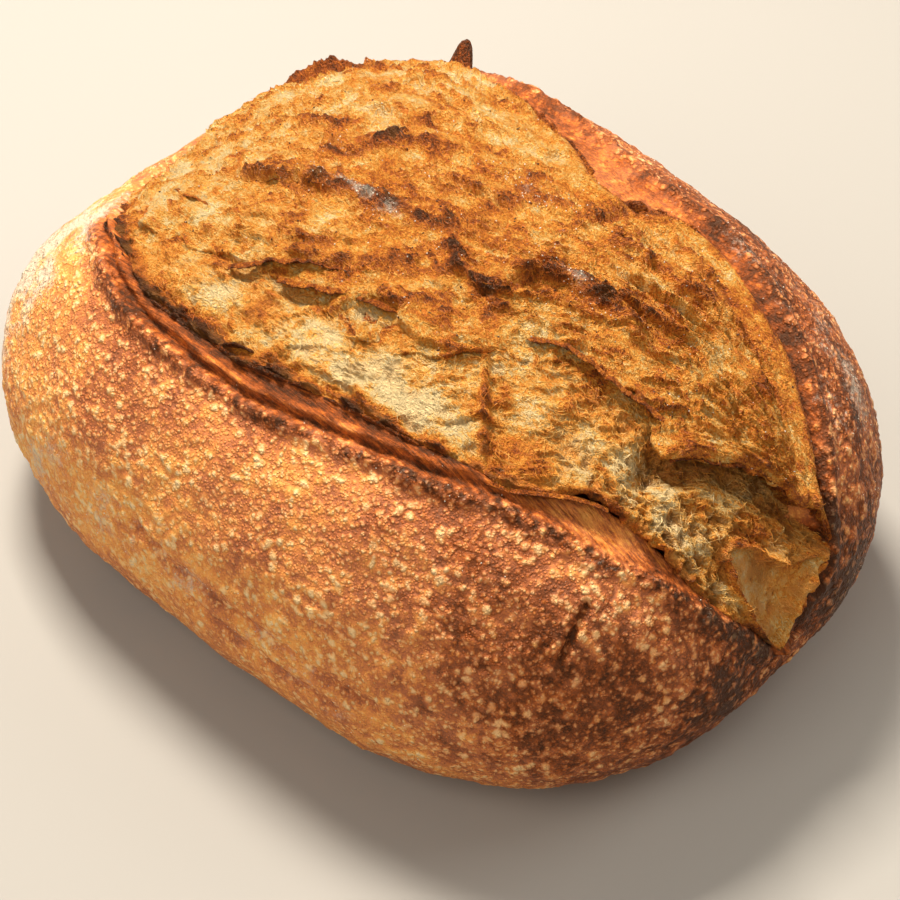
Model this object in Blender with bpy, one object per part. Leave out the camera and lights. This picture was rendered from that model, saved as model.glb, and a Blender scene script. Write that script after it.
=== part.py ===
"""Sourdough loaf: one solid, an oval hearth loaf scored once along its front shoulder.

The loaf lies along X on its flat base, with the origin at the middle of the base.  Its skin is
described on a map: "along" is measured over the crest from the middle of the loaf towards +X,
and "across" is measured round the loaf from the crest, negative towards the scored shoulder (-Y).
Every fold, lip and tear is a line or an outline on that map, with a height and a width.
"""

import bmesh
import bpy
import numpy as np

# Driving dimensions, in metres.
HALF_LENGTH = 0.1205
HALF_WIDTH = 0.0985
HEIGHT = 0.110
BELLY_HEIGHT = 0.037          # where the side stands furthest out
UNDERSIDE_DEPTH = 0.050       # depth of the lower curve, which the flat base cuts off

# Fullness of the rounded body: 2 is an ellipse, more is squarer.
PLAN_FULLNESS = 2.85
TOP_FULLNESS = 2.1
UNDERSIDE_FULLNESS = 2.4
END_TAPER = -0.048            # the +X end is narrower
SIDE_SKEW = -0.037            # the +Y side is shorter
END_DROP = 0.14               # how far the two ends' points lie below the belly

# Mesh: one ring of points for each row along the loaf.
ROWS = 78
COLUMN_COUNTS = [2, 4, 8, 14, 10, 8, 8, 4, 2]   # base, under, flank, ear, crown, far edge, flank, under, base
SIDE_TURN = 0.52              # share of the half ring, from the crest, where the side turns under
BASE_TURN = 0.72              # and where the flat base begins
EDGE_BEFORE = 0.010           # closely spaced columns begin this far outside a bloom edge
FRONT_REACH = 0.036           # and run this far inside it, over the torn ledge
BACK_REACH = 0.016
FINE_STEPS = 361

# Lines on the map, (along, across) in millimetres.
MM = 0.001
FRONT_EDGE = [(-112, 0), (-107, -26), (-90, -46), (-71, -60), (-51, -72), (-39, -77), (-15, -79),
              (7, -77), (28, -71), (47, -64), (65, -54), (88, -43), (106, -33), (118, -25), (152, -3)]
BACK_EDGE = [(-112, 0), (-106, 32), (-90, 60), (-68, 73), (-40, 69), (-10, 66), (12, 60), (28, 59),
             (42, 60), (60, 52), (80, 43), (100, 33), (118, 26), (134, 22), (152, 0)]
EAR_LIP = [(54, -54), (67, -46), (73, -40), (80, -34), (94, -29), (108, -25), (118, -22)]
TORN_LEDGE = [(-90, -38), (-62, -52), (-36, -49), (-10, -45), (7, -47), (20, -43), (30, -36), (41, -23),
              (59, -12), (76, -7), (90, -11), (98, 1), (104, 16), (113, 20), (122, 23)]
BACK_RIDGE = [(-88, 56), (-68, 68), (-40, 62), (-20, 55), (0, 48), (12, 42), (23, 42), (30, 52),
              (40, 56), (52, 50), (62, 43), (80, 33), (100, 27), (114, 23)]
FACET_RIDGE = [(129, 24), (131, 14), (140, 9), (153, 0)]

# Smaller folds: (line, height, width), all in millimetres; a negative height is a furrow.
FOLDS = [
    ([(-52, -27), (-32, -17), (-1, -9)], 2.2, 4.0),
    ([(-24, -46), (-16, -38), (-6, -31)], 2.0, 3.5),
    ([(24, -9), (34, 3), (50, 8)], 2.4, 3.5),
    ([(35, -31), (43, -39), (51, -47)], 1.8, 3.0),
    ([(44, -27), (56, -14), (76, -4)], -1.8, 3.0),
    ([(-70, 20), (-30, 24), (14, 20), (40, 24)], 2.0, 7.0),
    ([(-60, 0), (-20, 6), (20, 2)], -1.4, 6.0),
    ([(8, -118), (34, -120), (56, -112)], -1.6, 4.0),
    ([(-6, -126), (26, -128), (50, -122)], -1.2, 3.0),
    ([(93, -53), (95, -66)], -1.4, 2.5),
    ([(112, -36), (122, -34)], -1.4, 4.0),
    ([(-108, -10), (-96, -18), (-84, -26)], -4.0, 13.0),
]

EAR_RISE = 3.2
SHOULDER_SWELL = 1.4
GROOVE_DEPTH = 4.2
INNER_RIDGE_RISE = 1.6
BAND_DEPTH = 3.6
LIP_RISE = 2.6
LEDGE_RISE = 2.2
LEDGE_FALL = 2.4
CAVE_DEPTH = 5.5
CAVE_START = 76
CAVE_END = 124
FACET_DEPTH = 2.2
FACET_RIDGE_RISE = 2.4
BACK_RIDGE_RISE = 2.4
BACK_BAND_DEPTH = 2.2

CRUST_COLOUR = (0.36, 0.14, 0.035, 1.0)
CRUST_ROUGHNESS = 0.62


def clear_objects():
    for item in list(bpy.data.objects):
        bpy.data.objects.remove(item, do_unlink=True)


def step(low, high, value):
    """0 below low, 1 above high, smooth between."""
    part = np.clip((value - low) / (high - low), 0.0, 1.0)
    return part * part * (3.0 - 2.0 * part)


def swell(distance, width):
    return np.exp(-(distance / width) ** 2)


def smooth_line(points, pieces=12):
    """Points along a smooth curve through the given ones (Catmull-Rom)."""
    knots = np.array(points, dtype=float)
    padded = np.vstack([2 * knots[0] - knots[1], knots, 2 * knots[-1] - knots[-2]])
    part = np.linspace(0.0, 1.0, pieces, endpoint=False)[:, None]
    stretches = []
    for a, b, c, d in zip(padded, padded[1:], padded[2:], padded[3:]):
        bend = 2 * a - 5 * b + 4 * c - d
        twist = 3 * b - a - 3 * c + d
        stretches.append(b + 0.5 * part * (c - a + part * (bend + part * twist)))
    return np.vstack(stretches + [knots[-1:]])


def across_at(points, along):
    """How far across a line lies, for each place along the loaf."""
    line = smooth_line(points)
    return np.interp(along, line[:, 0], line[:, 1])


def distance_to(points, along, across):
    """Shortest distance from each place on the map to a line, in millimetres."""
    line = smooth_line(points)
    start, run = line[:-1], np.diff(line, axis=0)
    place = np.stack([along, across], axis=-1)[..., None, :]
    part = ((place - start) * run).sum(-1) / (run * run).sum(-1)
    nearest = start + np.clip(part, 0.0, 1.0)[..., None] * run
    return np.linalg.norm(place - nearest, axis=-1).min(-1)


def direction(turn, roll):
    """Unit direction for a turn from the +X end to the -X end, and a roll round the long axis."""
    down = END_DROP * np.cos(turn) ** 2
    away = np.stack([np.cos(turn), np.sin(turn) * np.sin(roll), np.sin(turn) * np.cos(roll) - down], axis=-1)
    return away / np.linalg.norm(away, axis=-1, keepdims=True)


def body_point(away):
    """The plain rounded body: a full oval dome over a curved underside with a flat base."""
    level = np.hypot(away[..., 0], away[..., 1])
    plan = (np.abs(away[..., 0]) ** PLAN_FULLNESS + np.abs(away[..., 1]) ** PLAN_FULLNESS) ** (1 / PLAN_FULLNESS)
    squareness = np.where(plan > 1e-9, level / np.maximum(plan, 1e-9), 1.0)
    upper = away[..., 2] > 0
    fullness = np.where(upper, TOP_FULLNESS, UNDERSIDE_FULLNESS)
    reach = (level ** fullness + np.abs(away[..., 2]) ** fullness) ** (1 / fullness)
    x = HALF_LENGTH * away[..., 0] * squareness / reach
    y = HALF_WIDTH * away[..., 1] * squareness / reach
    depth = np.where(upper, HEIGHT - BELLY_HEIGHT, UNDERSIDE_DEPTH)
    z = np.maximum(BELLY_HEIGHT + depth * away[..., 2] / reach, 0.0)
    y = y * (1 + END_TAPER * x / HALF_LENGTH)
    x = x * (1 + SIDE_SKEW * y / HALF_WIDTH)
    return np.stack([x, y, z], axis=-1)


def crest_distance(turns):
    """Distance over the crest from the middle of the loaf, towards +X, for each turn."""
    fine = np.linspace(0.0, np.pi, FINE_STEPS)
    crest = body_point(direction(fine, np.zeros_like(fine)))
    length = np.concatenate([[0.0], np.cumsum(np.linalg.norm(np.diff(crest, axis=0), axis=1))])
    middle = np.interp(np.pi / 2, fine, length)
    return middle - np.interp(turns, fine, length)


def ring_columns(along, half_ring):
    """Where each column of points crosses one ring: close together at the two bloom edges."""
    front = np.clip(across_at(FRONT_EDGE, along / MM) * MM / half_ring, -0.36, -0.16)
    back = np.clip(across_at(BACK_EDGE, along / MM) * MM / half_ring, 0.16, 0.36)
    outside = min(EDGE_BEFORE / half_ring, 0.08)
    over_ear = min(FRONT_REACH / half_ring, 0.16)
    before_back = min(BACK_REACH / half_ring, 0.10)
    knots = [-1.0, -BASE_TURN, -SIDE_TURN, front - outside, front + over_ear]
    knots += [back - before_back, back + outside, SIDE_TURN, BASE_TURN, 1.0]
    runs = [np.linspace(a, b, n, endpoint=False) for a, b, n in zip(knots, knots[1:], COLUMN_COUNTS)]
    return np.concatenate(runs) * half_ring


def body_grid():
    """Points of the plain body, row by row, with their places on the map."""
    turns = np.linspace(0.0, np.pi, ROWS + 1)
    rolls = np.linspace(-np.pi, np.pi, 2 * FINE_STEPS - 1)
    along = crest_distance(turns)
    columns = sum(COLUMN_COUNTS)
    points = np.zeros((ROWS + 1, columns, 3))
    across = np.zeros((ROWS + 1, columns))
    for row, turn in enumerate(turns):
        ring = body_point(direction(np.full_like(rolls, turn), rolls))
        length = np.concatenate([[0.0], np.cumsum(np.linalg.norm(np.diff(ring, axis=0), axis=1))])
        length -= length[FINE_STEPS - 1]
        if 0 < row < ROWS:
            across[row] = ring_columns(along[row], -length[0])
            roll = np.interp(across[row], length, rolls)
        else:
            roll = np.zeros(columns)
        points[row] = body_point(direction(np.full_like(roll, turn), roll))
    return points, np.broadcast_to(along[:, None], across.shape), across


def outward(points):
    """Unit normals of the closed grid of rings."""
    down_rows = np.gradient(points, axis=0)
    round_ring = np.roll(points, -1, axis=1) - np.roll(points, 1, axis=1)
    normal = np.cross(round_ring, down_rows)
    normal[0] = (1.0, 0.0, -0.3)
    normal[-1] = (-1.0, 0.0, -0.3)
    return normal / np.maximum(np.linalg.norm(normal, axis=-1, keepdims=True), 1e-12)


def bloom_depth(along, across):
    """Distance inside the bloom's outline, negative outside it, in millimetres."""
    outline = FRONT_EDGE[::-1] + BACK_EDGE[1:]
    inside = (across > across_at(FRONT_EDGE, along)) & (across < across_at(BACK_EDGE, along))
    inside &= (along > FRONT_EDGE[0][0]) & (along < FRONT_EDGE[-1][0])
    return np.where(inside, 1.0, -1.0) * distance_to(outline, along, across)


def ear_relief(along, across):
    """The scored shoulder: a raised ear, the groove behind it and the burnt ridge inside."""
    depth = bloom_depth(along, across)
    front = step(14.0, -14.0, across) * step(150.0, 118.0, along)
    height = EAR_RISE * swell(depth, 5.0) + SHOULDER_SWELL * swell(depth + 12.0, 11.0)
    height -= GROOVE_DEPTH * swell(depth - 7.0, 3.8)
    height += INNER_RIDGE_RISE * swell(depth - 13.0, 4.0) * step(76.0, 56.0, along)
    return front * height


def band_relief(along, across):
    """The smooth stretched band on the +X half, between the flank's edge and the ear's lip."""
    here = step(58.0, 76.0, along) * step(124.0, 108.0, along)
    past_flank = across - across_at(FRONT_EDGE, along)
    before_lip = across_at(EAR_LIP, along) - across
    band = step(0.0, 5.0, past_flank) * step(-2.0, 4.0, before_lip)
    lip = swell(distance_to(EAR_LIP, along, across), 4.0)
    return here * (LIP_RISE * lip - BAND_DEPTH * band)


def ledge_relief(along, across):
    """The torn crown stands over the open crumb along a ragged ledge, hollow at the +X end."""
    above = distance_to(TORN_LEDGE, along, across) * np.sign(across - across_at(TORN_LEDGE, along))
    here = step(-84.0, -60.0, along) * step(126.0, 112.0, along)
    fall = LEDGE_FALL * swell(above + 5.0, 5.0)
    rise = LEDGE_RISE * swell(above - 4.0, 6.0)
    cave = step(CAVE_START - 8, CAVE_START + 8, along) * step(CAVE_END + 6, CAVE_END - 6, along)
    hollow = CAVE_DEPTH * swell(above + 7.0, 6.0) * cave
    return here * (rise - fall - hollow)


def facet_relief(along, across):
    """The bubble skin at the +X tip: a sunken three-sided facet with a raised far side."""
    width = 20.0 * step(156.0, 112.0, along)
    inside = step(-2.0, 4.0, width - np.abs(across - 6.0)) * step(108.0, 120.0, along) * step(158.0, 146.0, along)
    ridge = swell(distance_to(FACET_RIDGE, along, across), 3.0)
    return FACET_RIDGE_RISE * ridge - FACET_DEPTH * inside


def back_relief(along, across):
    """Two ridges with a stretched band between them, on the shoulder away from the ear."""
    here = step(-100.0, -70.0, along) * step(150.0, 122.0, along)
    ridge = swell(distance_to(BACK_RIDGE, along, across), 4.0)
    edge = swell(distance_to(BACK_EDGE, along, across), 4.5)
    past_ridge = across - across_at(BACK_RIDGE, along)
    before_edge = across_at(BACK_EDGE, along) - across
    band = step(1.0, 5.0, past_ridge) * step(1.0, 5.0, before_edge)
    return here * (BACK_RIDGE_RISE * ridge + 0.7 * BACK_RIDGE_RISE * edge - BACK_BAND_DEPTH * band)


def fold_relief(along, across):
    height = np.zeros_like(across)
    for line, rise, width in FOLDS:
        height += rise * swell(distance_to(line, along, across), width)
    return height


def loaf_points():
    """The body's points moved out or in by the relief, with the base left flat."""
    points, along, across = body_grid()
    along, across = along / MM, across / MM
    parts = (ear_relief, band_relief, ledge_relief, facet_relief, back_relief, fold_relief)
    height = sum(relief(along, across) for relief in parts) * MM
    keep = step(0.004, 0.016, points[..., 2])
    keep[0] = keep[-1] = 0.0
    points = points + outward(points) * (height * keep)[..., None]
    points[..., 2] = np.maximum(points[..., 2], 0.0)
    points[..., 2] *= HEIGHT / points[..., 2].max()
    middle = (points.reshape(-1, 3).min(0) + points.reshape(-1, 3).max(0)) / 2
    points[..., :2] -= middle[:2]
    return points


def loaf_mesh():
    """A sphere with its poles at the loaf's two ends, each point moved to its place on the loaf."""
    points = loaf_points()
    columns = points.shape[1]
    work = bmesh.new()
    bmesh.ops.create_uvsphere(work, u_segments=columns, v_segments=ROWS, radius=1.0)
    for vertex in work.verts:
        x, y, z = vertex.co
        row = round(float(np.arccos(np.clip(z, -1.0, 1.0)) / np.pi * ROWS))
        column = round(float(np.arctan2(y, x) / (2 * np.pi) * columns)) % columns
        vertex.co = points[row, column]
    bmesh.ops.triangulate(work, faces=work.faces)
    bmesh.ops.recalc_face_normals(work, faces=work.faces)
    mesh = bpy.data.meshes.new("loaf")
    work.to_mesh(mesh)
    work.free()
    mesh.shade_smooth()
    return mesh


def crust_material():
    material = bpy.data.materials.new("crust")
    material.use_nodes = True
    shader = material.node_tree.nodes["Principled BSDF"]
    shader.inputs["Base Color"].default_value = CRUST_COLOUR
    shader.inputs["Roughness"].default_value = CRUST_ROUGHNESS
    shader.inputs["Metallic"].default_value = 0.0
    return material


def build_loaf():
    clear_objects()
    collection = bpy.data.collections.new("sourdough loaf")
    bpy.context.scene.collection.children.link(collection)
    loaf = bpy.data.objects.new("loaf", loaf_mesh())
    loaf.data.materials.append(crust_material())
    collection.objects.link(loaf)
    return loaf


build_loaf()
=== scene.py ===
"""Sourdough loaf, finished: blistered crust, scored ear, torn crumb bed and toasted crown.

Every piece is laid out on the loaf's own map: "along" runs over the crest from the middle towards
+X, "across" runs round the loaf from the crest, negative towards the scored shoulder.  Both are in
millimetres, as are all heights; the meshes are in metres.
"""

import math
import random

import bmesh
import bpy
import numpy as np
from mathutils import Matrix, Vector


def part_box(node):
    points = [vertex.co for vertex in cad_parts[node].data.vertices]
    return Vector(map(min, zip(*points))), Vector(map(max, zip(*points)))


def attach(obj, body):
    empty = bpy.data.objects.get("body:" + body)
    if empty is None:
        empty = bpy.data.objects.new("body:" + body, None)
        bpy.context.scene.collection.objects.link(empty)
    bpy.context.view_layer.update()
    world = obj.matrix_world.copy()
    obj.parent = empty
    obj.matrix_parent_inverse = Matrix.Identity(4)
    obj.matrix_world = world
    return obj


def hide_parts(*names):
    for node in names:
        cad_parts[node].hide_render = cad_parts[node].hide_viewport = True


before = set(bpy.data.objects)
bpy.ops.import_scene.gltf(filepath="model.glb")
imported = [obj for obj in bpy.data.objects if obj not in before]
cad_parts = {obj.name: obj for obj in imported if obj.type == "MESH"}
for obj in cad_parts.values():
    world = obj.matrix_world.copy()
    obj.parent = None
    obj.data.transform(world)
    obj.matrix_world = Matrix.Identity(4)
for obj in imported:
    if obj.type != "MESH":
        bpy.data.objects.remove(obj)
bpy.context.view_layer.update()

MM = 0.001

# ---------------------------------------------------------------- the plain body

LOAF_LOW, LOAF_HIGH = (np.array(corner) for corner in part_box("loaf"))
LOAF_SIZE = LOAF_HIGH - LOAF_LOW
EDGE_ALLOWANCE = np.array([0.0029, 0.0, 0.0])     # what the ear and the tip add to the plain body
HALF_LENGTH = (LOAF_SIZE[0] - EDGE_ALLOWANCE[0]) / 2
HALF_WIDTH = LOAF_SIZE[1] / 2.011
HEIGHT = LOAF_SIZE[2]
BELLY_HEIGHT = 0.336 * HEIGHT
UNDERSIDE_DEPTH = 0.455 * HEIGHT
PLAN_FULLNESS = 2.85
TOP_FULLNESS = 2.1
UNDERSIDE_FULLNESS = 2.4
END_TAPER = -0.048
SIDE_SKEW = -0.037
END_DROP = 0.14
TINY = 1e-9


def direction(turn, roll):
    """Unit direction for a turn from the +X end to the -X end, and a roll round the long axis."""
    down = END_DROP * np.cos(turn) ** 2
    sideways = np.sin(turn) * np.sin(roll)
    upward = np.sin(turn) * np.cos(roll) - down
    away = np.stack([np.cos(turn), sideways, upward], axis=-1)
    return away / np.linalg.norm(away, axis=-1, keepdims=True)


def body_point(away):
    """The plain rounded body: a full oval dome over a curved underside with a flat base."""
    level = np.hypot(away[..., 0], away[..., 1])
    lengthways = np.abs(away[..., 0]) ** PLAN_FULLNESS
    sideways = np.abs(away[..., 1]) ** PLAN_FULLNESS
    plan = (lengthways + sideways) ** (1 / PLAN_FULLNESS)
    squareness = np.where(plan > TINY, level / np.maximum(plan, TINY), 1.0)
    upper = away[..., 2] > 0
    fullness = np.where(upper, TOP_FULLNESS, UNDERSIDE_FULLNESS)
    reach = (level ** fullness + np.abs(away[..., 2]) ** fullness) ** (1 / fullness)
    x = HALF_LENGTH * away[..., 0] * squareness / reach
    y = HALF_WIDTH * away[..., 1] * squareness / reach
    depth = np.where(upper, HEIGHT - BELLY_HEIGHT, UNDERSIDE_DEPTH)
    z = np.maximum(BELLY_HEIGHT + depth * away[..., 2] / reach, 0.0)
    y = y * (1 + END_TAPER * x / HALF_LENGTH)
    x = x * (1 + SIDE_SKEW * y / HALF_WIDTH)
    return np.stack([x, y, z], axis=-1)


class Skin:
    """The plain body's surface, looked up by its place on the map."""

    ROWS = 401
    COLUMNS = 801

    def __init__(self):
        turns = np.linspace(0.0, np.pi, self.ROWS)
        rolls = np.linspace(-np.pi, np.pi, self.COLUMNS)
        turn_grid, roll_grid = np.meshgrid(turns, rolls, indexing="ij")
        points = body_point(direction(turn_grid, roll_grid)) / MM
        crest = points[:, self.COLUMNS // 2]
        length = np.concatenate([[0.0], np.cumsum(np.linalg.norm(np.diff(crest, axis=0), axis=1))])
        self.along = np.interp(np.pi / 2, turns, length) - length
        self.turns = turns
        steps = np.linalg.norm(np.diff(points, axis=1), axis=-1)
        round_ring = np.concatenate([np.zeros((self.ROWS, 1)), np.cumsum(steps, axis=1)], axis=1)
        self.half_ring = round_ring[:, -1] / 2
        share = np.linspace(0.0, 1.0, self.COLUMNS)
        self.points = np.zeros_like(points)
        for row in range(self.ROWS):
            ring = round_ring[row] / max(round_ring[row, -1], TINY) if 0 < row < self.ROWS - 1 else share
            self.points[row] = body_point(direction(np.full(self.COLUMNS, turns[row]),
                                                    np.interp(share, ring, rolls))) / MM
        ahead = np.gradient(self.points, axis=0)
        sideways = np.gradient(self.points, axis=1)
        sideways[:, 0] = sideways[:, -1] = self.points[:, 1] - self.points[:, -2]
        normal = np.cross(sideways, ahead)
        normal[0] = (1.0, 0.0, -0.3)
        normal[-1] = (-1.0, 0.0, -0.3)
        self.normals = normal / np.maximum(np.linalg.norm(normal, axis=-1, keepdims=True), 1e-12)

    def half_ring_at(self, along):
        return np.interp(-along, -self.along, self.half_ring)

    def look(self, table, along, across):
        row = np.interp(-along, -self.along, np.arange(self.ROWS))
        share = across / np.maximum(self.half_ring_at(along), 1e-6)
        column = np.clip((share + 1) / 2, 0.0, 1.0) * (self.COLUMNS - 1)
        row0 = np.clip(row.astype(int), 0, self.ROWS - 2)
        column0 = np.clip(column.astype(int), 0, self.COLUMNS - 2)
        part_row = (row - row0)[..., None]
        part_column = (column - column0)[..., None]
        near = table[row0, column0] * (1 - part_column) + table[row0, column0 + 1] * part_column
        far = table[row0 + 1, column0] * (1 - part_column) + table[row0 + 1, column0 + 1] * part_column
        return near * (1 - part_row) + far * part_row

    def place(self, along, across, height):
        """Points in millimetres, at a height above the plain body, for places on the map."""
        normal = self.look(self.normals, along, across)
        normal /= np.maximum(np.linalg.norm(normal, axis=-1, keepdims=True), TINY)
        return self.look(self.points, along, across) + normal * height[..., None]


skin = Skin()

# ---------------------------------------------------------------- lines and fields on the map

TEAR_START = -112
TEAR_END = 154

# Each line runs from the -X end of the tear towards the +X end, as (along, across).
# The outer edge of the crust along the scored shoulder:
FRONT_EDGE = [(-112, 0), (-107, -26), (-90, -46), (-71, -60), (-51, -72), (-39, -77), (-15, -79), (7, -77),
              (28, -71), (47, -64), (65, -54), (88, -43), (106, -33), (118, -26), (128, -20), (140, -12),
              (154, -3)]
# Where the crust runs in under the crumb:
INNER_EDGE = [(-112, 0), (-104, -26), (-86, -44), (-69, -56), (-50, -66), (-39, -70), (-13, -71), (4, -67),
              (28, -62), (46, -56), (60, -51), (67, -46), (73, -40), (80, -34), (94, -29), (108, -25),
              (118, -23), (128, -18), (140, -10), (154, -1)]
# The torn lower edge of the crown:
LEDGE = [(-112, 0), (-104, -22), (-90, -38), (-62, -52), (-36, -49), (-10, -45), (7, -47), (20, -43),
         (30, -36), (41, -23), (59, -12), (76, -7), (84, -10), (89, -10), (92, -6), (98, 1), (102, 7),
         (109, 12), (118, 18), (122, 22), (134, 24)]
# The ridge that ends the crown on the far shoulder, and the crust's edge just below it:
RIDGE_RUN = [(-112, 0), (-104, 30), (-88, 56), (-68, 68), (-40, 62), (-20, 55), (0, 48), (12, 42), (23, 42),
             (29, 47), (36, 51), (44, 52), (54, 50), (67, 46), (80, 43), (91, 38), (105, 32)]
BACK_RIDGE = RIDGE_RUN + [(118, 26), (123, 24), (134, 24)]
FLOOR_BACK = RIDGE_RUN + [(118, 27), (126, 26), (132, 23), (138, 15), (145, 8), (154, 0)]
# The outer edge of the crust on the far shoulder:
BACK_EDGE = [(-112, 0), (-106, 32), (-90, 60), (-68, 74), (-40, 72), (-10, 68), (12, 62), (28, 61), (42, 62),
             (60, 55), (80, 47), (100, 38), (118, 29), (126, 26), (136, 23), (146, 14), (154, 1)]


def step(low, high, value):
    """0 at low and beyond, 1 at high and beyond, smooth between; low may be the greater of the two."""
    part = np.clip((value - low) / (high - low), 0.0, 1.0)
    return part * part * (3.0 - 2.0 * part)


def swell(distance, width):
    return np.exp(-(distance / width) ** 2)


def smooth_line(points, pieces=10):
    """Points along a smooth curve through the given ones (Catmull-Rom)."""
    knots = np.array(points, dtype=float)
    padded = np.vstack([2 * knots[0] - knots[1], knots, 2 * knots[-1] - knots[-2]])
    part = np.linspace(0.0, 1.0, pieces, endpoint=False)[:, None]
    stretches = []
    for a, b, c, d in zip(padded, padded[1:], padded[2:], padded[3:]):
        bend = 2 * a - 5 * b + 4 * c - d
        twist = 3 * b - a - 3 * c + d
        stretches.append(b + 0.5 * part * (c - a + part * (bend + part * twist)))
    return np.vstack(stretches + [knots[-1:]])


def across_at(points, along):
    line = smooth_line(points)
    return np.interp(along, line[:, 0], line[:, 1])


def distance_to(points, along, across, pieces=5):
    """Shortest distance from each place on the map to a line."""
    line = smooth_line(points, pieces)
    nearest = np.full(np.shape(along), 1e9)
    for (a0, c0), (a1, c1) in zip(line, line[1:]):
        run_a, run_c = a1 - a0, c1 - c0
        part = ((along - a0) * run_a + (across - c0) * run_c) / (run_a * run_a + run_c * run_c)
        part = np.clip(part, 0.0, 1.0)
        nearest = np.minimum(nearest, np.hypot(along - a0 - part * run_a, across - c0 - part * run_c))
    return nearest


def inward_distance(points, along, across, inward):
    """Distance to an edge of the tear, above 0 on the tear's side; inward is the way into the tear."""
    into = (across - across_at(points, along)) * inward > 0
    return distance_to(points, along, across) * np.where(into, 1, -1)


def scatter_value(cell, seed):
    """A repeatable number from 0 to 1 for each whole-number cell, by mixing its bits with large primes."""
    mixed = seed * 26544357
    for axis, prime in enumerate((73856093, 19349663, 83492791)):
        mixed = mixed ^ (cell[..., axis] * prime)
    mixed = ((mixed ^ (mixed >> 13)) * 1274126177) & 0xFFFFFFFF
    mixed = ((mixed ^ (mixed >> 15)) * 668265263) & 0xFFFFFFFF
    return ((mixed ^ (mixed >> 16)) & 0xFFFFFF) / float(0xFFFFFF)


def noise(place, scale, seed):
    """Smooth gradient noise, about -1 to 1; scale is the size of its lumps in millimetres.

    Every call has a seed of its own, so that no two patterns on the loaf agree.
    """
    place = place / scale
    cell = np.floor(place).astype(np.int64)
    part = place - cell
    fade = part ** 3 * (part * (part * 6 - 15) + 10)
    total = np.zeros(place.shape[:-1])
    for corner in np.ndindex(2, 2, 2):
        at = cell + np.array(corner)
        slope = np.stack([scatter_value(at, seed + 7 * axis) for axis in range(3)], axis=-1) * 2 - 1
        weight = np.prod(np.where(corner, fade, 1 - fade), axis=-1)
        total += weight * ((part - np.array(corner)) * slope).sum(-1)
    return total * 1.7


def on_map(first, second):
    """Places for noise that is laid out on the map instead of in space."""
    return np.stack([first, second, np.zeros_like(first)], axis=-1)


def layered_noise(place, scale, seed, layers=4, fall=0.5):
    return sum(noise(place, scale * 0.5 ** n, seed + 31 * n) * fall ** n for n in range(layers))


def ridged(place, scale, seed, layers=3, fall=0.55):
    """Crests as torn bread has them, sharp on top and rounded between, from 0 to about 1."""
    total, share, whole = 0.0, 1.0, 0.0
    for n in range(layers):
        crest = (1 - np.clip(np.abs(noise(place, scale * 0.5 ** n, seed + 31 * n)) * 1.5, 0, 1)) ** 2
        total = total + crest * share * fall ** n
        share = np.clip(0.25 + crest * 1.1, 0, 1)
        whole += fall ** n
    return total / whole


def bubbles(place, spacing, seed):
    """Scattered bubbles: distance to the nearest centre, distance to the wall, and its own number."""
    place = place / spacing
    cell = np.floor(place).astype(np.int64)
    nearest = np.full(place.shape[:-1], 9.0)
    second = np.full(place.shape[:-1], 9.0)
    own = np.zeros(place.shape[:-1])
    for corner in np.ndindex(3, 3, 3):
        at = cell + np.array(corner) - 1
        centre = at + np.stack([scatter_value(at, seed + 5 * axis) for axis in range(3)], axis=-1)
        far = np.linalg.norm(place - centre, axis=-1)
        closer = far < nearest
        second = np.where(closer, nearest, np.minimum(second, far))
        own = np.where(closer, scatter_value(at, seed + 99), own)
        nearest = np.where(closer, far, nearest)
    return nearest, second - nearest, own


def bowl(distance, radius):
    """A round hollow: 1 in the middle, 0 from its radius outwards."""
    return np.clip(1 - (distance / radius) ** 2, 0, 1)


def dome(distance, radius):
    """A round blister, steeper at its rim than a bowl."""
    return np.sqrt(bowl(distance, radius))


def patches(spots, along, across):
    """Sum of soft oval patches: (along, across, radius along, radius across, amount)."""
    return sum(amount * np.exp(-((along - a) / ra) ** 2 - ((across - c) / rc) ** 2)
               for a, c, ra, rc, amount in spots)


# How brown the bake is: 0 pale crumb, 0.35 gold, 0.6 orange-brown, 0.8 brown, 1 burnt.
FLANK_BAKE = 0.505
FLANK_BAKE_AND_SHADE_SPOTS = [
    (-45, -95, 40, 22, 0.06), (10, -98, 40, 18, -0.05), (0, -132, 70, 20, -0.14), (112, -80, 50, 38, 0.22),
    (75, -75, 28, 24, 0.08), (-88, -76, 26, 30, -0.16), (90, 60, 60, 28, 0.24), (0, 80, 70, 30, 0.14),
    # The spot at the +X end is browner bake and also painted shade, darkening the end that faces away from
    # the key light.
    (145, 10, 26, 70, 0.40), (-130, 0, 40, 90, -0.10), (60, -128, 40, 14, -0.10), (-60, -125, 40, 22, -0.16),
]
FLANK_FLOUR_SPOTS = [
    (-94, -74, 22, 30, 1.4), (-100, -50, 20, 20, 0.5), (10, -130, 70, 16, 0.45), (80, 62, 45, 14, 0.60),
    (75, -66, 22, 14, 0.12), (20, 85, 60, 16, 0.45), (-70, -130, 40, 20, 0.4), (98, 44, 16, 8, 0.35),
    (-140, 10, 30, 60, 0.55),
]
BLOOM_BAKE = 0.465
BLOOM_BAKE_SPOTS = [
    (-92, -16, 24, 36, -0.20), (-58, 40, 30, 24, -0.16), (-25, 36, 26, 10, -0.04), (-55, -33, 16, 12, -0.16),
    (-25, -8, 24, 14, 0.10), (14, -2, 20, 18, 0.14), (30, -28, 30, 12, 0.04), (12, 22, 22, 9, 0.14),
    (36, 46, 9, 7, -0.24), (60, 36, 16, 6, 0.12), (96, 10, 9, 8, -0.10), (70, 12, 24, 14, 0.06),
    (45, 2, 14, 10, 0.10), (-5, -36, 20, 8, 0.06), (80, 40, 30, 6, 0.06), (-10, 60, 30, 10, -0.05),
]
CRUMB_BAKE = 0.42
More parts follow.
